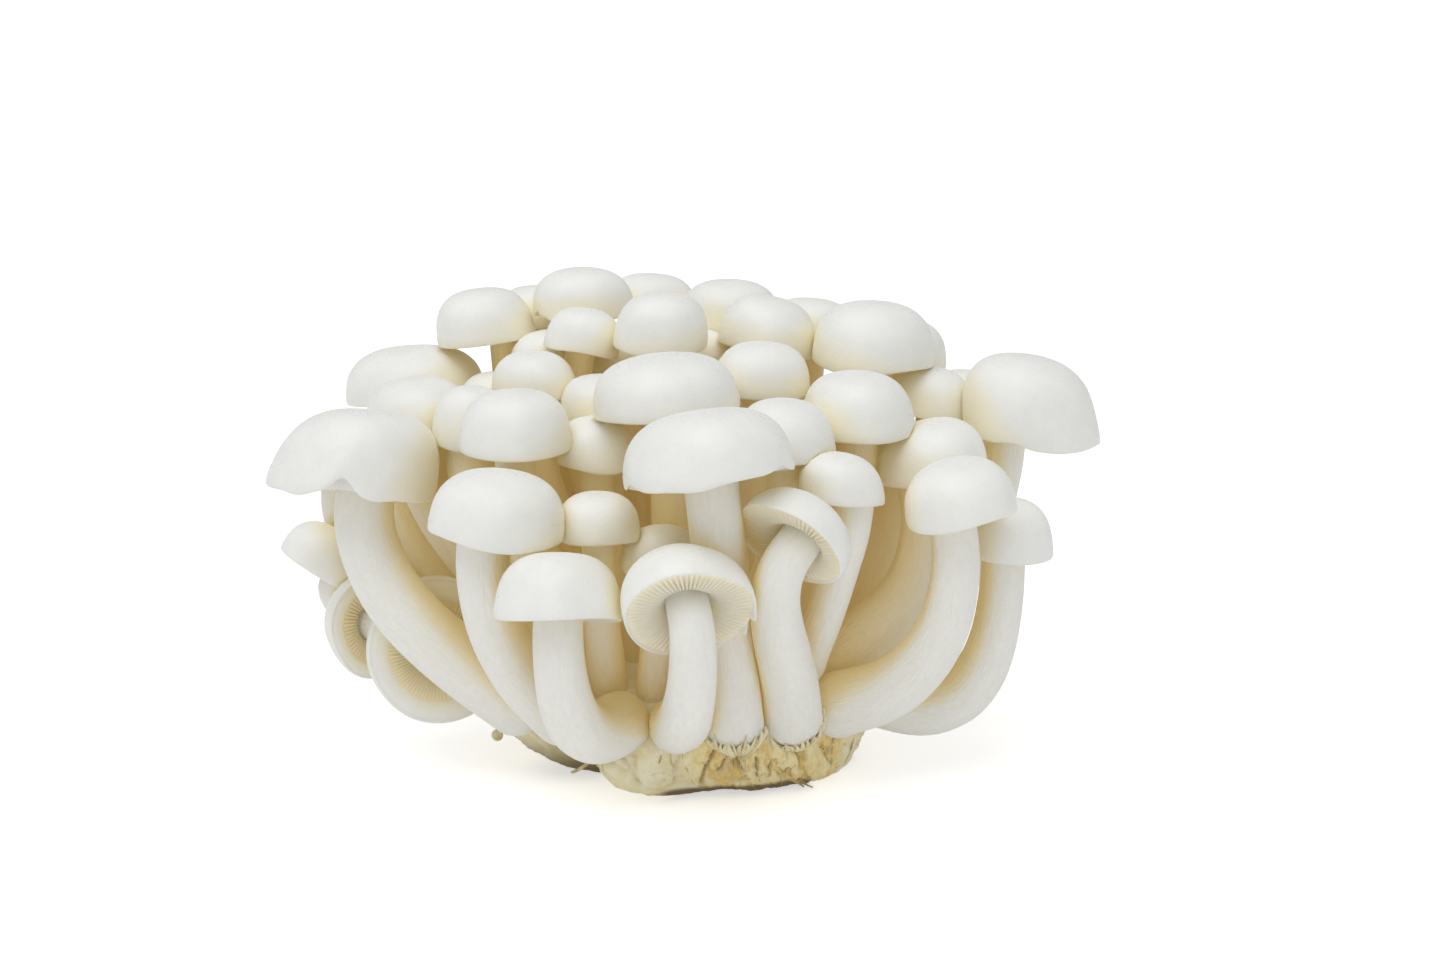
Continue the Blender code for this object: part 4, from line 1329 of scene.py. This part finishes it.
def in_zones(zones, bearing):
    """How much of an effect a bearing in degrees gets; it fades over the soft degrees."""
    shares = []
    for zone in zones:
        away = abs((bearing - zone.middle + 180) % 360 - 180)
        shares.append(zone.much * float(np.clip((zone.half + zone.soft - away) / zone.soft, 0, 1)))
    return max(shares)


print("zones round the base:", len(STRANDED + PORED + SHADED_EDGE_ZONES + SHADED_LOBE_ZONES))

# %% Creases
# Across the front, each as (x, z) points, its depth and its width: folds first, then cracks.
Crease = namedtuple("Crease", "path depth width")
CREASES = (
    Crease(((-10.6, 10.5), (-9.1, 8.8), (-8.0, 6.9), (-7.1, 3.7)), 1.2, 0.42),
    Crease(((-8.0, 10.6), (-7.4, 7.5)), 0.8, 0.32),
    Crease(((-13.2, 9.4), (-11.4, 8.8), (-9.6, 7.4)), 0.8, 0.5),
    Crease(((0.4, 10.7), (-0.2, 8.8), (-0.7, 6.1), (-0.6, 3.2)), 0.9, 0.34),
    Crease(((-4.9, 6.0), (-3.5, 6.4)), 0.4, 0.22),
    Crease(((-5.6, 3.0), (-2.6, 2.4), (-0.6, 3.2)), 0.4, 0.3),
    Crease(((-27.0, 11.3), (-25.0, 8.1), (-22.4, 5.9)), 1.0, 0.42),
    Crease(((-29.6, 9.8), (-27.7, 7.2), (-25.2, 5.0)), 0.9, 0.38),
    Crease(((6.0, 9.4), (5.0, 7.3), (4.3, 5.2), (3.6, 2.5)), 1.4, 0.42),
    Crease(((11.3, 9.4), (10.0, 7.4), (10.9, 5.4)), 1.6, 0.34),
    Crease(((13.5, 7.8), (13.3, 4.4)), 1.3, 0.28),
    Crease(((8.2, 7.8), (6.9, 5.0)), 1.2, 0.3),
    Crease(((18.9, 5.0), (18.0, 3.4)), 1.0, 0.3),
    Crease(((20.7, 7.5), (20.8, 5.2)), 1.3, 0.28),
    Crease(((8.5, 13.2), (10.0, 11.8)), 0.8, 0.34),
    Crease(((11.6, 13.2), (13.4, 11.2)), 0.9, 0.34),
    Crease(((13.4, 15.6), (13.0, 14.4)), 0.8, 0.3),
    Crease(((5.9, 12.0), (8.9, 10.7), (13.1, 10.6), (14.6, 11.8)), 1.1, 0.36),
    Crease(((15.9, 6.2), (15.6, 3.8)), 0.9, 0.26),
    Crease(((22.4, 10.2), (24.9, 9.4)), 0.9, 0.4),
)
CRACKS_FROM = 8
FOLD_WIDENING = 1.6
# How much painted shade darkens the folds and the cracks.
FOLD_SHADE = 0.3
CRACK_SHADE = 0.8
GROOVE_SHAPE = 1.4
LIP_SHARE = 0.35
LIP_PLACE = 2.4
FRONT_FADE = 6


def path_distance(path, x, z):
    """How far each place is from a line through the path's points, seen from the front."""
    path = np.array(path)
    near = np.full(x.shape, FAR_AWAY)
    for (ax, az), (bx, bz) in zip(path[:-1], path[1:]):
        length = (bx - ax) ** 2 + (bz - az) ** 2
        t = np.clip(((x - ax) * (bx - ax) + (z - az) * (bz - az)) / length, 0, 1)
        near = np.minimum(near, np.hypot(x - ax - t * (bx - ax), z - az - t * (bz - az)))
    return near


def crease_depths(rows):
    """How deep creases and cracks cut at each point of the grid, front half alone, and their
    painted shade.
    """
    x, z = rows[..., 0], rows[..., 2]
    front = np.clip(-rows[..., 1] / FRONT_FADE, 0, 1)
    cut, dark = np.zeros(x.shape), np.zeros(x.shape)
    for number, crease in enumerate(CREASES):
        widening, shade_darkness = FOLD_WIDENING, FOLD_SHADE
        if number >= CRACKS_FROM:
            widening, shade_darkness = 1.0, CRACK_SHADE
        near = path_distance(crease.path, x, z) / (crease.width * widening)
        groove = front * np.exp(-(near**GROOVE_SHAPE))
        lip = front * crease.depth * LIP_SHARE * np.exp(-((near - LIP_PLACE) ** 2))
        deep = crease.depth * groove - lip
        cut = np.where(deep > cut, deep, np.minimum(cut, cut - lip))
        dark = np.maximum(dark, shade_darkness * groove)
    return cut, dark


print("folds:", CRACKS_FROM, "and cracks:", len(CREASES) - CRACKS_FROM)

# %% Relief at one place
ARC_RADIUS = 28
LUMP_SPACING = 7.5
LUMP_SIZE = 1.1
SMALL_LUMP_SPACING = 2.6
SMALL_LUMP_SIZE = 0.5
CHIP_WIDTH = 2.6
CHIP_HEIGHT = 11.0
CHIP_LEAN = 0.25
CHIP_WOBBLE = 1.3
WOBBLE_SPACING = 2.2
CHIP_RISE = 1.1
CHIP_SUNK = 1.0
CHIP_EDGE = 0.25
CHIP_EDGE_RISE = 0.5
CHIP_CRACK = 0.06
# Painted shade in the cracks between chips.
CHIP_CRACK_SHADE = 0.3
PORE_SPACING = 1.3
PORE_LEVEL = 0.12
PORE_DEPTH = 1.1
# Painted shade down in the pores.
PORE_SHADE = -0.6
FELT_SPACING = 0.9
FELT_SIZE = 0.2
PLEAT_WIDTH = 2.6
PLEAT_HEIGHT = 10.0
PLEATS_LOST = 0.6
FIBRE_WIDTH = 0.8
FIBRE_HEIGHT = 4.0
FIBRE_SIZE = 0.4


def blobs(place, spacing):
    """Noise from -1 to 1 with blobs a given number of millimetres apart."""
    return noise.noise(Vector(place) / spacing)


def grains(place, spacing):
    """The same for fine grains, from the place itself, which is more exact."""
    return noise.noise(tuple(place / spacing))


def chips(place, arc):
    """The strand or chip of wood at a place: its own number, and how near its edge is."""
    arc = arc + CHIP_LEAN * place[2] + CHIP_WOBBLE * grains(place, WOBBLE_SPACING)
    distances, cells = noise.voronoi(Vector((arc / CHIP_WIDTH, 0.5, place[2] / CHIP_HEIGHT)))
    return 0.5 + 0.5 * noise.cell(cells[0] * 9.7), distances[1] - distances[0]


def root_relief(place, bearing, wall):
    """Millimetres outwards at a place on the base, its painted shade in a crack or pore, and its
    chip.
    """
    arc = math.radians(bearing) * ARC_RADIUS
    strands, pores = in_zones(STRANDED, bearing), in_zones(PORED, bearing)
    small_lumps = SMALL_LUMP_SIZE * blobs(place, SMALL_LUMP_SPACING)
    lumps = LUMP_SIZE * blobs(place, LUMP_SPACING) + small_lumps
    felt = FELT_SIZE * grains(place, FELT_SPACING)
    fibres = FIBRE_SIZE * noise.noise((arc / FIBRE_WIDTH, 0.7, place[2] / FIBRE_HEIGHT))
    pleats = noise.noise((arc / PLEAT_WIDTH, 0.3, place[2] / PLEAT_HEIGHT))
    pleats = pleats * (1 - PLEATS_LOST * strands)
    chip, edge = chips(place, arc)
    chipped = strands * (CHIP_RISE * chip + CHIP_EDGE_RISE * min(edge / CHIP_EDGE, 1) - CHIP_SUNK)
    holes = min(0.0, blobs(place, PORE_SPACING) + PORE_LEVEL)
    out = lumps + felt + fibres + pleats + chipped + pores * PORE_DEPTH * holes
    # Painted shade in the cracks between chips and down in the pores.
    crack_shade = strands * max(0.0, 1 - edge / CHIP_CRACK) * CHIP_CRACK_SHADE + pores * PORE_SHADE * holes
    return wall * out, min(1.0, crack_shade), chip


# %% Shape the base
LEAST_RELIEF = 0.25
RELIEF_GROWTH = 2.2
RELIEF_FADE = 3
CUT_GAIN = 1.2
FURTHEST_OUT = 1.3


def relief_share(row, level):
    """How much relief a ring gets: little under the base, all on the wall, less on top."""
    if level > 1:
        return max(LEAST_RELIEF, 1 - RELIEF_FADE * (level - 1))
    return min(1.0, LEAST_RELIEF + RELIEF_GROWTH * level) if row >= FIRST_WALL_ROW else LEAST_RELIEF


def shape_root():
    rows = root_rows.copy()
    crack_shades, chip_tones = np.zeros(rows.shape[:2]), np.zeros(rows.shape[:2])
    cut, dark = crease_depths(root_rows)
    for i, row in enumerate(root_rows):
        wall = relief_share(i, row[0][2] / BASE_WAIST)
        for j, place in enumerate(row):
            out, crack_shade, chip_tones[i, j] = root_relief(place, j * 360 / ROOT_SIDES, wall)
            out -= cut[i, j] * min(1.0, wall * CUT_GAIN)
            rows[i, j] += min(out, FURTHEST_OUT) * root_facing[i, j]
            # Painted shade: the darker of the crack and pore shade and the shade in the creases.
            crack_shades[i, j] = max(crack_shade, dark[i, j])
    rows[..., 2] = np.maximum(rows[..., 2], 0)
    return rows, crack_shades, chip_tones


root_shape, root_crack_shade, root_chips = shape_root()
root_low, root_high = root_shape.min(axis=(0, 1)), root_shape.max(axis=(0, 1))
print("base reaches", root_low.round(1), "to", root_high.round(1), "mm")

# %% [markdown]
# Finishes of the root
#
# Colour follows the relief: cream felt, and pale or golden chips of wood among the strands.
# Painted shade turns the cracks, pores and folds brown, and makes the bottom edge and the
# low left lobe darkest. Threads of gold run over it, and there are stains and small orange
# specks where threads have bruised. A faint painted glow lies over the whole crust.

# %% Root materials
# A faint painted glow over the whole crust.
CRUST_GLOW = (1.0, 0.82, 0.45, 1)
FELT_CREAMS = (0.87, 0.79, 0.49), (0.95, 0.9, 0.7)
WOOD_PALES = (0.96, 0.82, 0.42), (0.98, 0.9, 0.62)
WOOD_GOLDS = (0.83, 0.59, 0.2), (0.95, 0.78, 0.38)
THREAD_GOLD = (0.83, 0.6, 0.22)
STAIN_GOLD = (0.82, 0.6, 0.2)
SPECK_ORANGE = (0.66, 0.42, 0.14)
# Painted shade: brown in the cracks, pores and folds, darker deep in them, and darkest along the
# bottom edge.
CRACK_SHADE_BROWN = (0.5, 0.33, 0.11)
CRACK_DEEP_SHADE = (0.2, 0.11, 0.035)
EDGE_SHADE_BROWN = (0.09, 0.056, 0.016)


def wood_and_felt(tree, ochre, blotch, fine):
    """Cream felt, and pale or golden wood where the base is ochre."""
    grain = mask_node(tree, fine, 0.35, 0.65)
    cream = mix_node(tree, mask_node(tree, blotch, 0.36, 0.66), *FELT_CREAMS)
    pale = mix_node(tree, grain, *WOOD_PALES)
    gold = mix_node(tree, grain, *WOOD_GOLDS)
    wood = mix_node(tree, mask_node(tree, value_at(tree, "chip")["Fac"], 0.22, 0.5), gold, pale)
    return mix_node(tree, mask_node(tree, ochre, 0.2, 0.7), cream, wood)


def marked(tree, colour, ochre, position):
    """The colour with threads, stains and specks on it."""
    streaks = place_group(tree, growth_streaks, fineness=0.9, length=0.2, detail=5.0)["Streaks"]
    much = add_node(tree, "ShaderNodeMapRange", {"Value": ochre, "To Min": 0.15, "To Max": 0.8})
    threads = math_node(tree, "MULTIPLY", mask_node(tree, streaks, 0.52, 0.66), much.outputs[0])
    colour = mix_node(tree, threads, colour, THREAD_GOLD)
    stained = math_node(tree, "MULTIPLY", ochre, noise_node(tree, position, 150.0, 3.0))
    colour = mix_node(tree, mask_node(tree, stained, 0.46, 0.62, 0.55), colour, STAIN_GOLD)
    specks = add_node(tree, "ShaderNodeTexVoronoi", {"Vector": position, "Scale": 330.0})
    speck = mask_node(tree, specks.outputs["Distance"], 0.2, 0.05, 0.35)
    return mix_node(tree, speck, colour, SPECK_ORANGE)


def make_root_crust():
    material, tree, shader = new_flesh("root_crust", 0.8, 0.08, 0.05)
    # The crust glows faintly all over: painted light.
    feed(tree, shader, {"Emission Color": CRUST_GLOW, "Specular IOR Level": 0.25})
    position = add_node(tree, "ShaderNodeNewGeometry").outputs["Position"]
    ochre, crack_shade, low = (value_at(tree, name)["Fac"] for name in ("ochre", "crack_shade", "low"))
    blotch = noise_node(tree, position, 260.0, 6.0, 0.62)
    fine = noise_node(tree, position, 1300.0, 6.0, 0.7)
    colour = marked(tree, wood_and_felt(tree, ochre, blotch, fine), ochre, position)
    # Painted shade in the cracks, pores and folds, then along the bottom edge and the low left
    # lobe.
    colour = mix_node(tree, mask_node(tree, crack_shade, 0.1, 0.6, 0.8), colour, CRACK_SHADE_BROWN)
    colour = mix_node(tree, mask_node(tree, crack_shade, 0.55, 1.0, 0.9), colour, CRACK_DEEP_SHADE)
    colour = mix_node(tree, mask_node(tree, low, 0.15, 0.7, 0.95), colour, EDGE_SHADE_BROWN)
    feed(tree, shader, {"Base Color": colour})
    set_bump(tree, shader, math_node(tree, "ADD", fine, blotch), 0.0005, 0.8)
    return material


def make_strand_finish(name, pale, dark):
    material, tree, shader = new_flesh(name, 0.75, 0.05)
    position = add_node(tree, "ShaderNodeNewGeometry").outputs["Position"]
    blotch = noise_node(tree, position, 480.0, 5.0, 0.6)
    colour = mix_node(tree, mask_node(tree, blotch, 0.36, 0.66), dark, pale)
    feed(tree, shader, {"Base Color": colour})
    set_bump(tree, shader, blotch, 0.0002)
    return material


root_crust = make_root_crust()
thread_finish = make_strand_finish("root_threads", (0.84, 0.77, 0.55), (0.66, 0.52, 0.24))
straw_finish = make_strand_finish("root_straw", (0.72, 0.58, 0.28), (0.4, 0.27, 0.1))
print("finishes of the root:", [m.name for m in (root_crust, thread_finish, straw_finish)])

# %% Make the base
EDGE_SHADE_FADE = (1.45, 2.0)
LOBE_SHADE_FADE = (1.3, 8.0)
UNDER_HEIGHT = 0.3


def painted_low_shade(rows):
    """How dark each point is with painted shade along the bottom edge, and higher up on the low
    left lobe.
    """
    bearings = [j * 360 / ROOT_SIDES for j in range(ROOT_SIDES)]
    edge = np.array([max(LEAST_EDGE_SHADE, in_zones(SHADED_EDGE_ZONES, bearing)) for bearing in bearings])
    lobe_shade = np.array([in_zones(SHADED_LOBE_ZONES, bearing) for bearing in bearings])
    near_edge_shade = np.clip(EDGE_SHADE_FADE[0] - rows[..., 2] / EDGE_SHADE_FADE[1], 0, 1)
    near_lobe_shade = np.clip(LOBE_SHADE_FADE[0] - rows[..., 2] / LOBE_SHADE_FADE[1], 0, 1)
    return np.maximum(near_edge_shade * edge, lobe_shade * near_lobe_shade)


def make_root_base():
    rows, sides = root_shape.shape[:2]
    under = [*FLAT_SHIFT, UNDER_HEIGHT]
    top = [0, 0, root_shape[-1, :, 2].mean()]
    points = np.vstack([root_shape.reshape(-1, 3), under, top])
    rings = [list(range(i * sides, (i + 1) * sides)) for i in range(rows)]
    faces = [face for lower, upper in zip(rings, rings[1:]) for face in sew(lower, upper)]
    faces += close(rings[0], rows * sides, False) + close(rings[-1], rows * sides + 1, True)
    mesh = make_mesh("root_base_skin", points, faces, (root_crust,))
    ochre = np.array([in_zones(STRANDED, j * 360 / sides) for j in range(sides)])
    set_value(mesh, "ochre", np.append(np.tile(ochre, rows), (0.5, 0)))
    # How much painted shade darkens the cracks, pores and folds.
    set_value(mesh, "crack_shade", np.append(root_crack_shade.ravel(), (0, 0)))
    set_value(mesh, "chip", np.append(root_chips.ravel(), (0, 0)))
    # How much painted shade darkens the bottom edge and the low left lobe.
    set_value(mesh, "low", np.append(painted_low_shade(root_shape).ravel(), (1, 0)))
    set_place(mesh, "grown", points)
    return place_piece("root_base_fine", mesh, "root_base")


root_base = make_root_base()
print("triangles in the base:", triangles([root_base]))

# %% [markdown]
# Threads, crumbs and straw
#
# What makes the base look dry and crumbly is what stands off its surface: loose threads
# that hang down the wall, crumbs of sawdust, shreds of skin round two feet, a fibre, a
# few bits of straw, and one round knot on a stalk. All of them are short tubes that lie
# on the finished relief, so each one touches it. A knot is a tube whose radius follows a
# half circle.

# %% Places on the finished base
ASLANT = (0.3, 0.2, 0.93)
LEVEL_SPREAD = 0.8
root_outward = grid_facing(root_shape)


def on_root(bearing, level, lift):
    """The point at a bearing in degrees and a level from 0 to 1, lifted off the surface."""
    j = int(round(bearing / 360 * ROOT_SIDES)) % ROOT_SIDES
    i = FIRST_WALL_ROW + int(round(np.clip(level, 0, 1) ** LEVEL_SPREAD * (WALL_ROWS - 1)))
    return root_shape[i, j] + lift * root_outward[i, j]


class Heap:
    """Many small closed shapes that make one piece."""

    def __init__(self):
        self.points, self.faces, self.finish = [], [], []
        self.tubes = 0

    def tube(self, path, radii, finish, sides):
        path = np.asarray(path)
        tangents = unit(np.gradient(path, axis=0))
        u = unit(np.cross(tangents[0], ASLANT))
        across, deep = np.cos(turn(sides))[:, None], np.sin(turn(sides))[:, None]
        rings = []
        for centre, tangent, radius in zip(path, tangents, radii):
            u = unit(u - (u @ tangent) * tangent)
            v = np.cross(tangent, u)
            rings.append(list(range(len(self.points), len(self.points) + sides)))
            self.points += list(centre + radius * (across * u + deep * v))
        faces = [face for a, b in zip(rings, rings[1:]) for face in sew(a, b)]
        self.points += [path[0], path[-1]]
        count = len(self.points)
        faces += close(rings[0], count - 2, False) + close(rings[-1], count - 1, True)
        self.faces += faces
        self.finish += [finish] * len(faces)
        self.tubes += 1

    def piece(self, name, materials):
        mesh = make_mesh(name, self.points, self.faces, materials, self.finish)
        return place_piece(name, mesh)


# %% Lay the threads
FELT, STRAW, CRUST = range(3)
THREAD_SEED = 5
THREADS = 66
THREAD_STEPS = 10
THREADS_ANYWHERE = 0.2
THREAD_TOPS = (0.45, 1.0)
THREAD_BOTTOMS = (0.03, 0.5)
SHORTEST_THREAD = 0.12
THREAD_LEAN = 7
THREAD_SWAY = 1.5
THREAD_WAVE = 5
THREADS_OF_STRAW = 0.25
THREAD_LIFT = (0.0, 0.05)
THREAD_THICKNESS = (0.08, 0.17)
THREAD_TAPER = np.sin(np.linspace(0.35, 2.9, THREAD_STEPS))


def lay_threads():
    draw = np.random.default_rng(THREAD_SEED)
    heap = Heap()
    while heap.tubes < THREADS:
        bearing = draw.uniform(0, 360)
        likely = THREADS_ANYWHERE + (1 - THREADS_ANYWHERE) * in_zones(STRANDED, bearing)
        if draw.uniform() > likely:
            continue
        top, bottom = draw.uniform(*THREAD_TOPS), draw.uniform(*THREAD_BOTTOMS)
        if top - bottom < SHORTEST_THREAD:
            continue
        lean = draw.uniform(-THREAD_LEAN, THREAD_LEAN)
        sway = draw.uniform(-THREAD_SWAY, THREAD_SWAY)
        path = []
        levels = np.linspace(top, bottom, THREAD_STEPS)
        for t, level in zip(np.linspace(0, 1, THREAD_STEPS), levels):
            here = bearing + lean * t + sway * math.sin(THREAD_WAVE * t)
            path.append(on_root(here, level, draw.uniform(*THREAD_LIFT)))
        path = smooth_line(np.array(path[::3]), THREAD_STEPS)
        thick = draw.uniform(*THREAD_THICKNESS) * THREAD_TAPER
        heap.tube(path, thick, STRAW if draw.uniform() < THREADS_OF_STRAW else FELT, 5)
    return heap


threads = lay_threads().piece("root_base_threads", (thread_finish, straw_finish))
print("triangles in the threads:", triangles([threads]))

# %% Lay the crumbs
LITTER_SEED = 8
CRUMBS = 34
CRUMB_BEARINGS = (262, 345)
CRUMB_LEVELS = (0.25, 1.0)
CRUMB_SLANT = (2.6, 0.1)
CRUMB_LIFTS = (0.05, 0.12)
CRUMBS_OF_STRAW = 0.2
CRUMB_THICKNESS = (0.12, 0.22)
CRUMB_TAPER = (0.7, 1.0, 0.9, 0.5)
SHORTEST_CRUMB = 0.5


def lay_crumbs(draw, heap):
    """Grains of sawdust: short stubs that lie on the wall at any slant."""
    for _ in range(CRUMBS):
        bearing, level = draw.uniform(*CRUMB_BEARINGS), draw.uniform(*CRUMB_LEVELS)
        start = on_root(bearing, level, CRUMB_LIFTS[0])
        aside, down = (draw.uniform(-most, most) for most in CRUMB_SLANT)
        end = on_root(bearing + aside, level + down, CRUMB_LIFTS[1])
        if np.linalg.norm(end - start) < SHORTEST_CRUMB:
            continue
        thick = draw.uniform(*CRUMB_THICKNESS) * np.array(CRUMB_TAPER)
        path = np.linspace(start, end, len(CRUMB_TAPER))
        heap.tube(path, thick, STRAW if draw.uniform() < CRUMBS_OF_STRAW else FELT, 5)


# %% Lay the fringe round the feet
FRINGE = 38
FRINGED_FEET = (22, 24)
FRINGE_SPLAY = 0.3
FRINGE_REACH = (-0.25, 0.2)
FRINGE_LOW = (0.55, 0.95)
FRINGE_MIDDLE = 0.4
FRINGE_TOP = (-0.35, 0.3)
FRINGE_OF_SKIN = 0.75
FRINGE_THICKNESS = (0.25, 0.7)
FRINGE_TAPER = (0.8, 1, 1, 0.85, 0.6, 0.35, 0.12)


def lay_fringe(draw, heap):
    """The ragged skin of threads that stays round a foot where it left the base."""
    for number in FRINGED_FEET:
        plant = plants[number - 1]
        u, v, tangent = stem_frames(plant)[0]
        foot, radius = plant.line[0], plant.thickness[0]
        for angle in turn(FRINGE):
            out = math.cos(angle) * u + math.sin(angle) * v
            splay = draw.uniform(-FRINGE_SPLAY, FRINGE_SPLAY)
            side = math.cos(angle + splay) * u + math.sin(angle) * v
            reach = radius + draw.uniform(*FRINGE_REACH)
            low = foot + FRINGE_LOW[0] * reach * out - FRINGE_LOW[1] * radius * tangent
            middle = foot + reach * out - FRINGE_MIDDLE * radius * tangent
            high = foot + reach * side + draw.uniform(*FRINGE_TOP) * radius * tangent
            path = smooth_line(np.array([low, middle, high]), len(FRINGE_TAPER))
            thick = draw.uniform(*FRINGE_THICKNESS) * np.array(FRINGE_TAPER)
            heap.tube(path, thick, CRUST if draw.uniform() < FRINGE_OF_SKIN else FELT, 6)


# %% Lay the odd pieces
KNOT = (-33.6, -5, 5.7)
KNOT_RADIUS = 1.08
KNOT_END = 0.06
STALK = ((-31.4, -4.6, 9.4), (-32.6, -4.8, 8.0), (-33.3, -5, 6.9), (-33.6, -5, 6.1))
FIBRE = ((-14.6, -12.4, 4.6), (-16.6, -13.6, 3.2), (-18.4, -14.2, 2.0), (-19.8, -14.6, 1.5))
STRAW_FOOT = (18.6, -20.2, 2.4)
STRAW_MIDDLE = (20.6, -20.8, 1.5)
STRAW_TIPS = (((23.4, -20.3, 0.5), 0.4), ((22.6, -21.4, 1.1), 0.9), ((21.8, -19.4, 0.4), 0.1))
FLECK = ((11.8, -26.0, 12.6), (12.4, -26.8, 13.8), (12.9, -26.6, 15.2))


def lay_strand(heap, path, thick, thin, finish, sides, steps=8):
    path = smooth_line(np.array(path), steps)
    heap.tube(path, np.linspace(thick, thin, steps), finish, sides)


def lay_oddments(heap):
    """A round knot of threads on a stalk at the left, one fibre, and straws at the right."""
    lay_strand(heap, STALK, 0.5, 0.32, FELT, 8)
    fall = np.linspace(KNOT_END, math.pi - KNOT_END, 12)
    knot = np.array([(*KNOT[:2], KNOT[2] + KNOT_RADIUS * math.cos(a)) for a in fall])
    heap.tube(knot, KNOT_RADIUS * np.sin(fall), FELT, 16)
    lay_strand(heap, FIBRE, 0.42, 0.26, FELT, 8, steps=10)
    for tip, rise in STRAW_TIPS:
        middle = (*STRAW_MIDDLE[:2], STRAW_MIDDLE[2] + rise)
        lay_strand(heap, (STRAW_FOOT, middle, tip), 0.34, 0.16, STRAW, 6)
    lay_strand(heap, FLECK, 0.45, 0.2, STRAW, 6)


def lay_litter():
    draw = np.random.default_rng(LITTER_SEED)
    heap = Heap()
    lay_crumbs(draw, heap)
    lay_fringe(draw, heap)
    lay_oddments(heap)
    return heap


litter = lay_litter().piece("root_base_litter", (thread_finish, straw_finish, root_crust))
print("triangles in the litter:", triangles([litter]))

# %% [markdown]
# The room
#
# A pale floor, a bright even sky, one broad soft sun from above and a weak one from the
# front give the soft shading of a product picture, and the floor throws light back up
# under the caps. To the camera the floor looks whiter than the light it gives, as a
# lightbox does, which Light Path makes possible. The camera doesn't look above the
# floor, so it needs no backdrop.

# %% Floor
FLOOR_HALF = 6.0
FLOOR_GLOW = 0.17
FLOOR_WHITE = 0.55
FLOOR_COLOUR = (0.82, 0.82, 0.82, 1)
WHITE = (1, 1, 1, 1)


def make_floor():
    mesh = bpy.data.meshes.new("floor")
    corners = [(x * FLOOR_HALF, y * FLOOR_HALF, 0) for x, y in ((-1, -1), (1, -1), (1, 1), (-1, 1))]
    mesh.from_pydata(corners, [], [(0, 1, 2, 3)])
    material = bpy.data.materials.new("floor")
    material.use_nodes = True
    tree = material.node_tree
    looks = {"Base Color": FLOOR_COLOUR, "Roughness": 0.9, "Emission Color": WHITE}
    seen = add_node(tree, "ShaderNodeLightPath").outputs["Is Camera Ray"]
    glow = {"Value": seen, "To Min": FLOOR_GLOW, "To Max": FLOOR_WHITE}
    looks["Emission Strength"] = add_node(tree, "ShaderNodeMapRange", glow).outputs[0]
    feed(tree, tree.nodes["Principled BSDF"], looks)
    mesh.materials.append(material)
    floor = bpy.data.objects.new("floor", mesh)
    bpy.context.scene.collection.objects.link(floor)
    return floor


print("floor:", make_floor().name)

# %% Lights
SKY_STRENGTH = 0.46
Sun = namedtuple("Sun", "name strength softness away")
SUNS = (
    Sun("soft_sun", 1.45, 64, (-0.22, -0.25, 1.0)),
    Sun("front_fill", 0.12, 50, (0.15, -1.0, 0.3)),
)


def make_sky():
    world = bpy.data.worlds.new("sky")
    world.use_nodes = True
    tree = world.node_tree
    feed(tree, tree.nodes["Background"], {"Color": WHITE, "Strength": SKY_STRENGTH})
    bpy.context.scene.world = world


def make_sun(sun):
    lamp = bpy.data.lights.new(sun.name, "SUN")
    lamp.energy = sun.strength
    lamp.angle = math.radians(sun.softness)
    light = bpy.data.objects.new(sun.name, lamp)
    light.rotation_mode = "QUATERNION"
    light.rotation_quaternion = Vector(sun.away).to_track_quat("Z", "Y")
    bpy.context.scene.collection.objects.link(light)


make_sky()
for sun in SUNS:
    make_sun(sun)
bpy.context.scene.view_settings.view_transform = "Standard"
print("suns:", [sun.name for sun in SUNS])
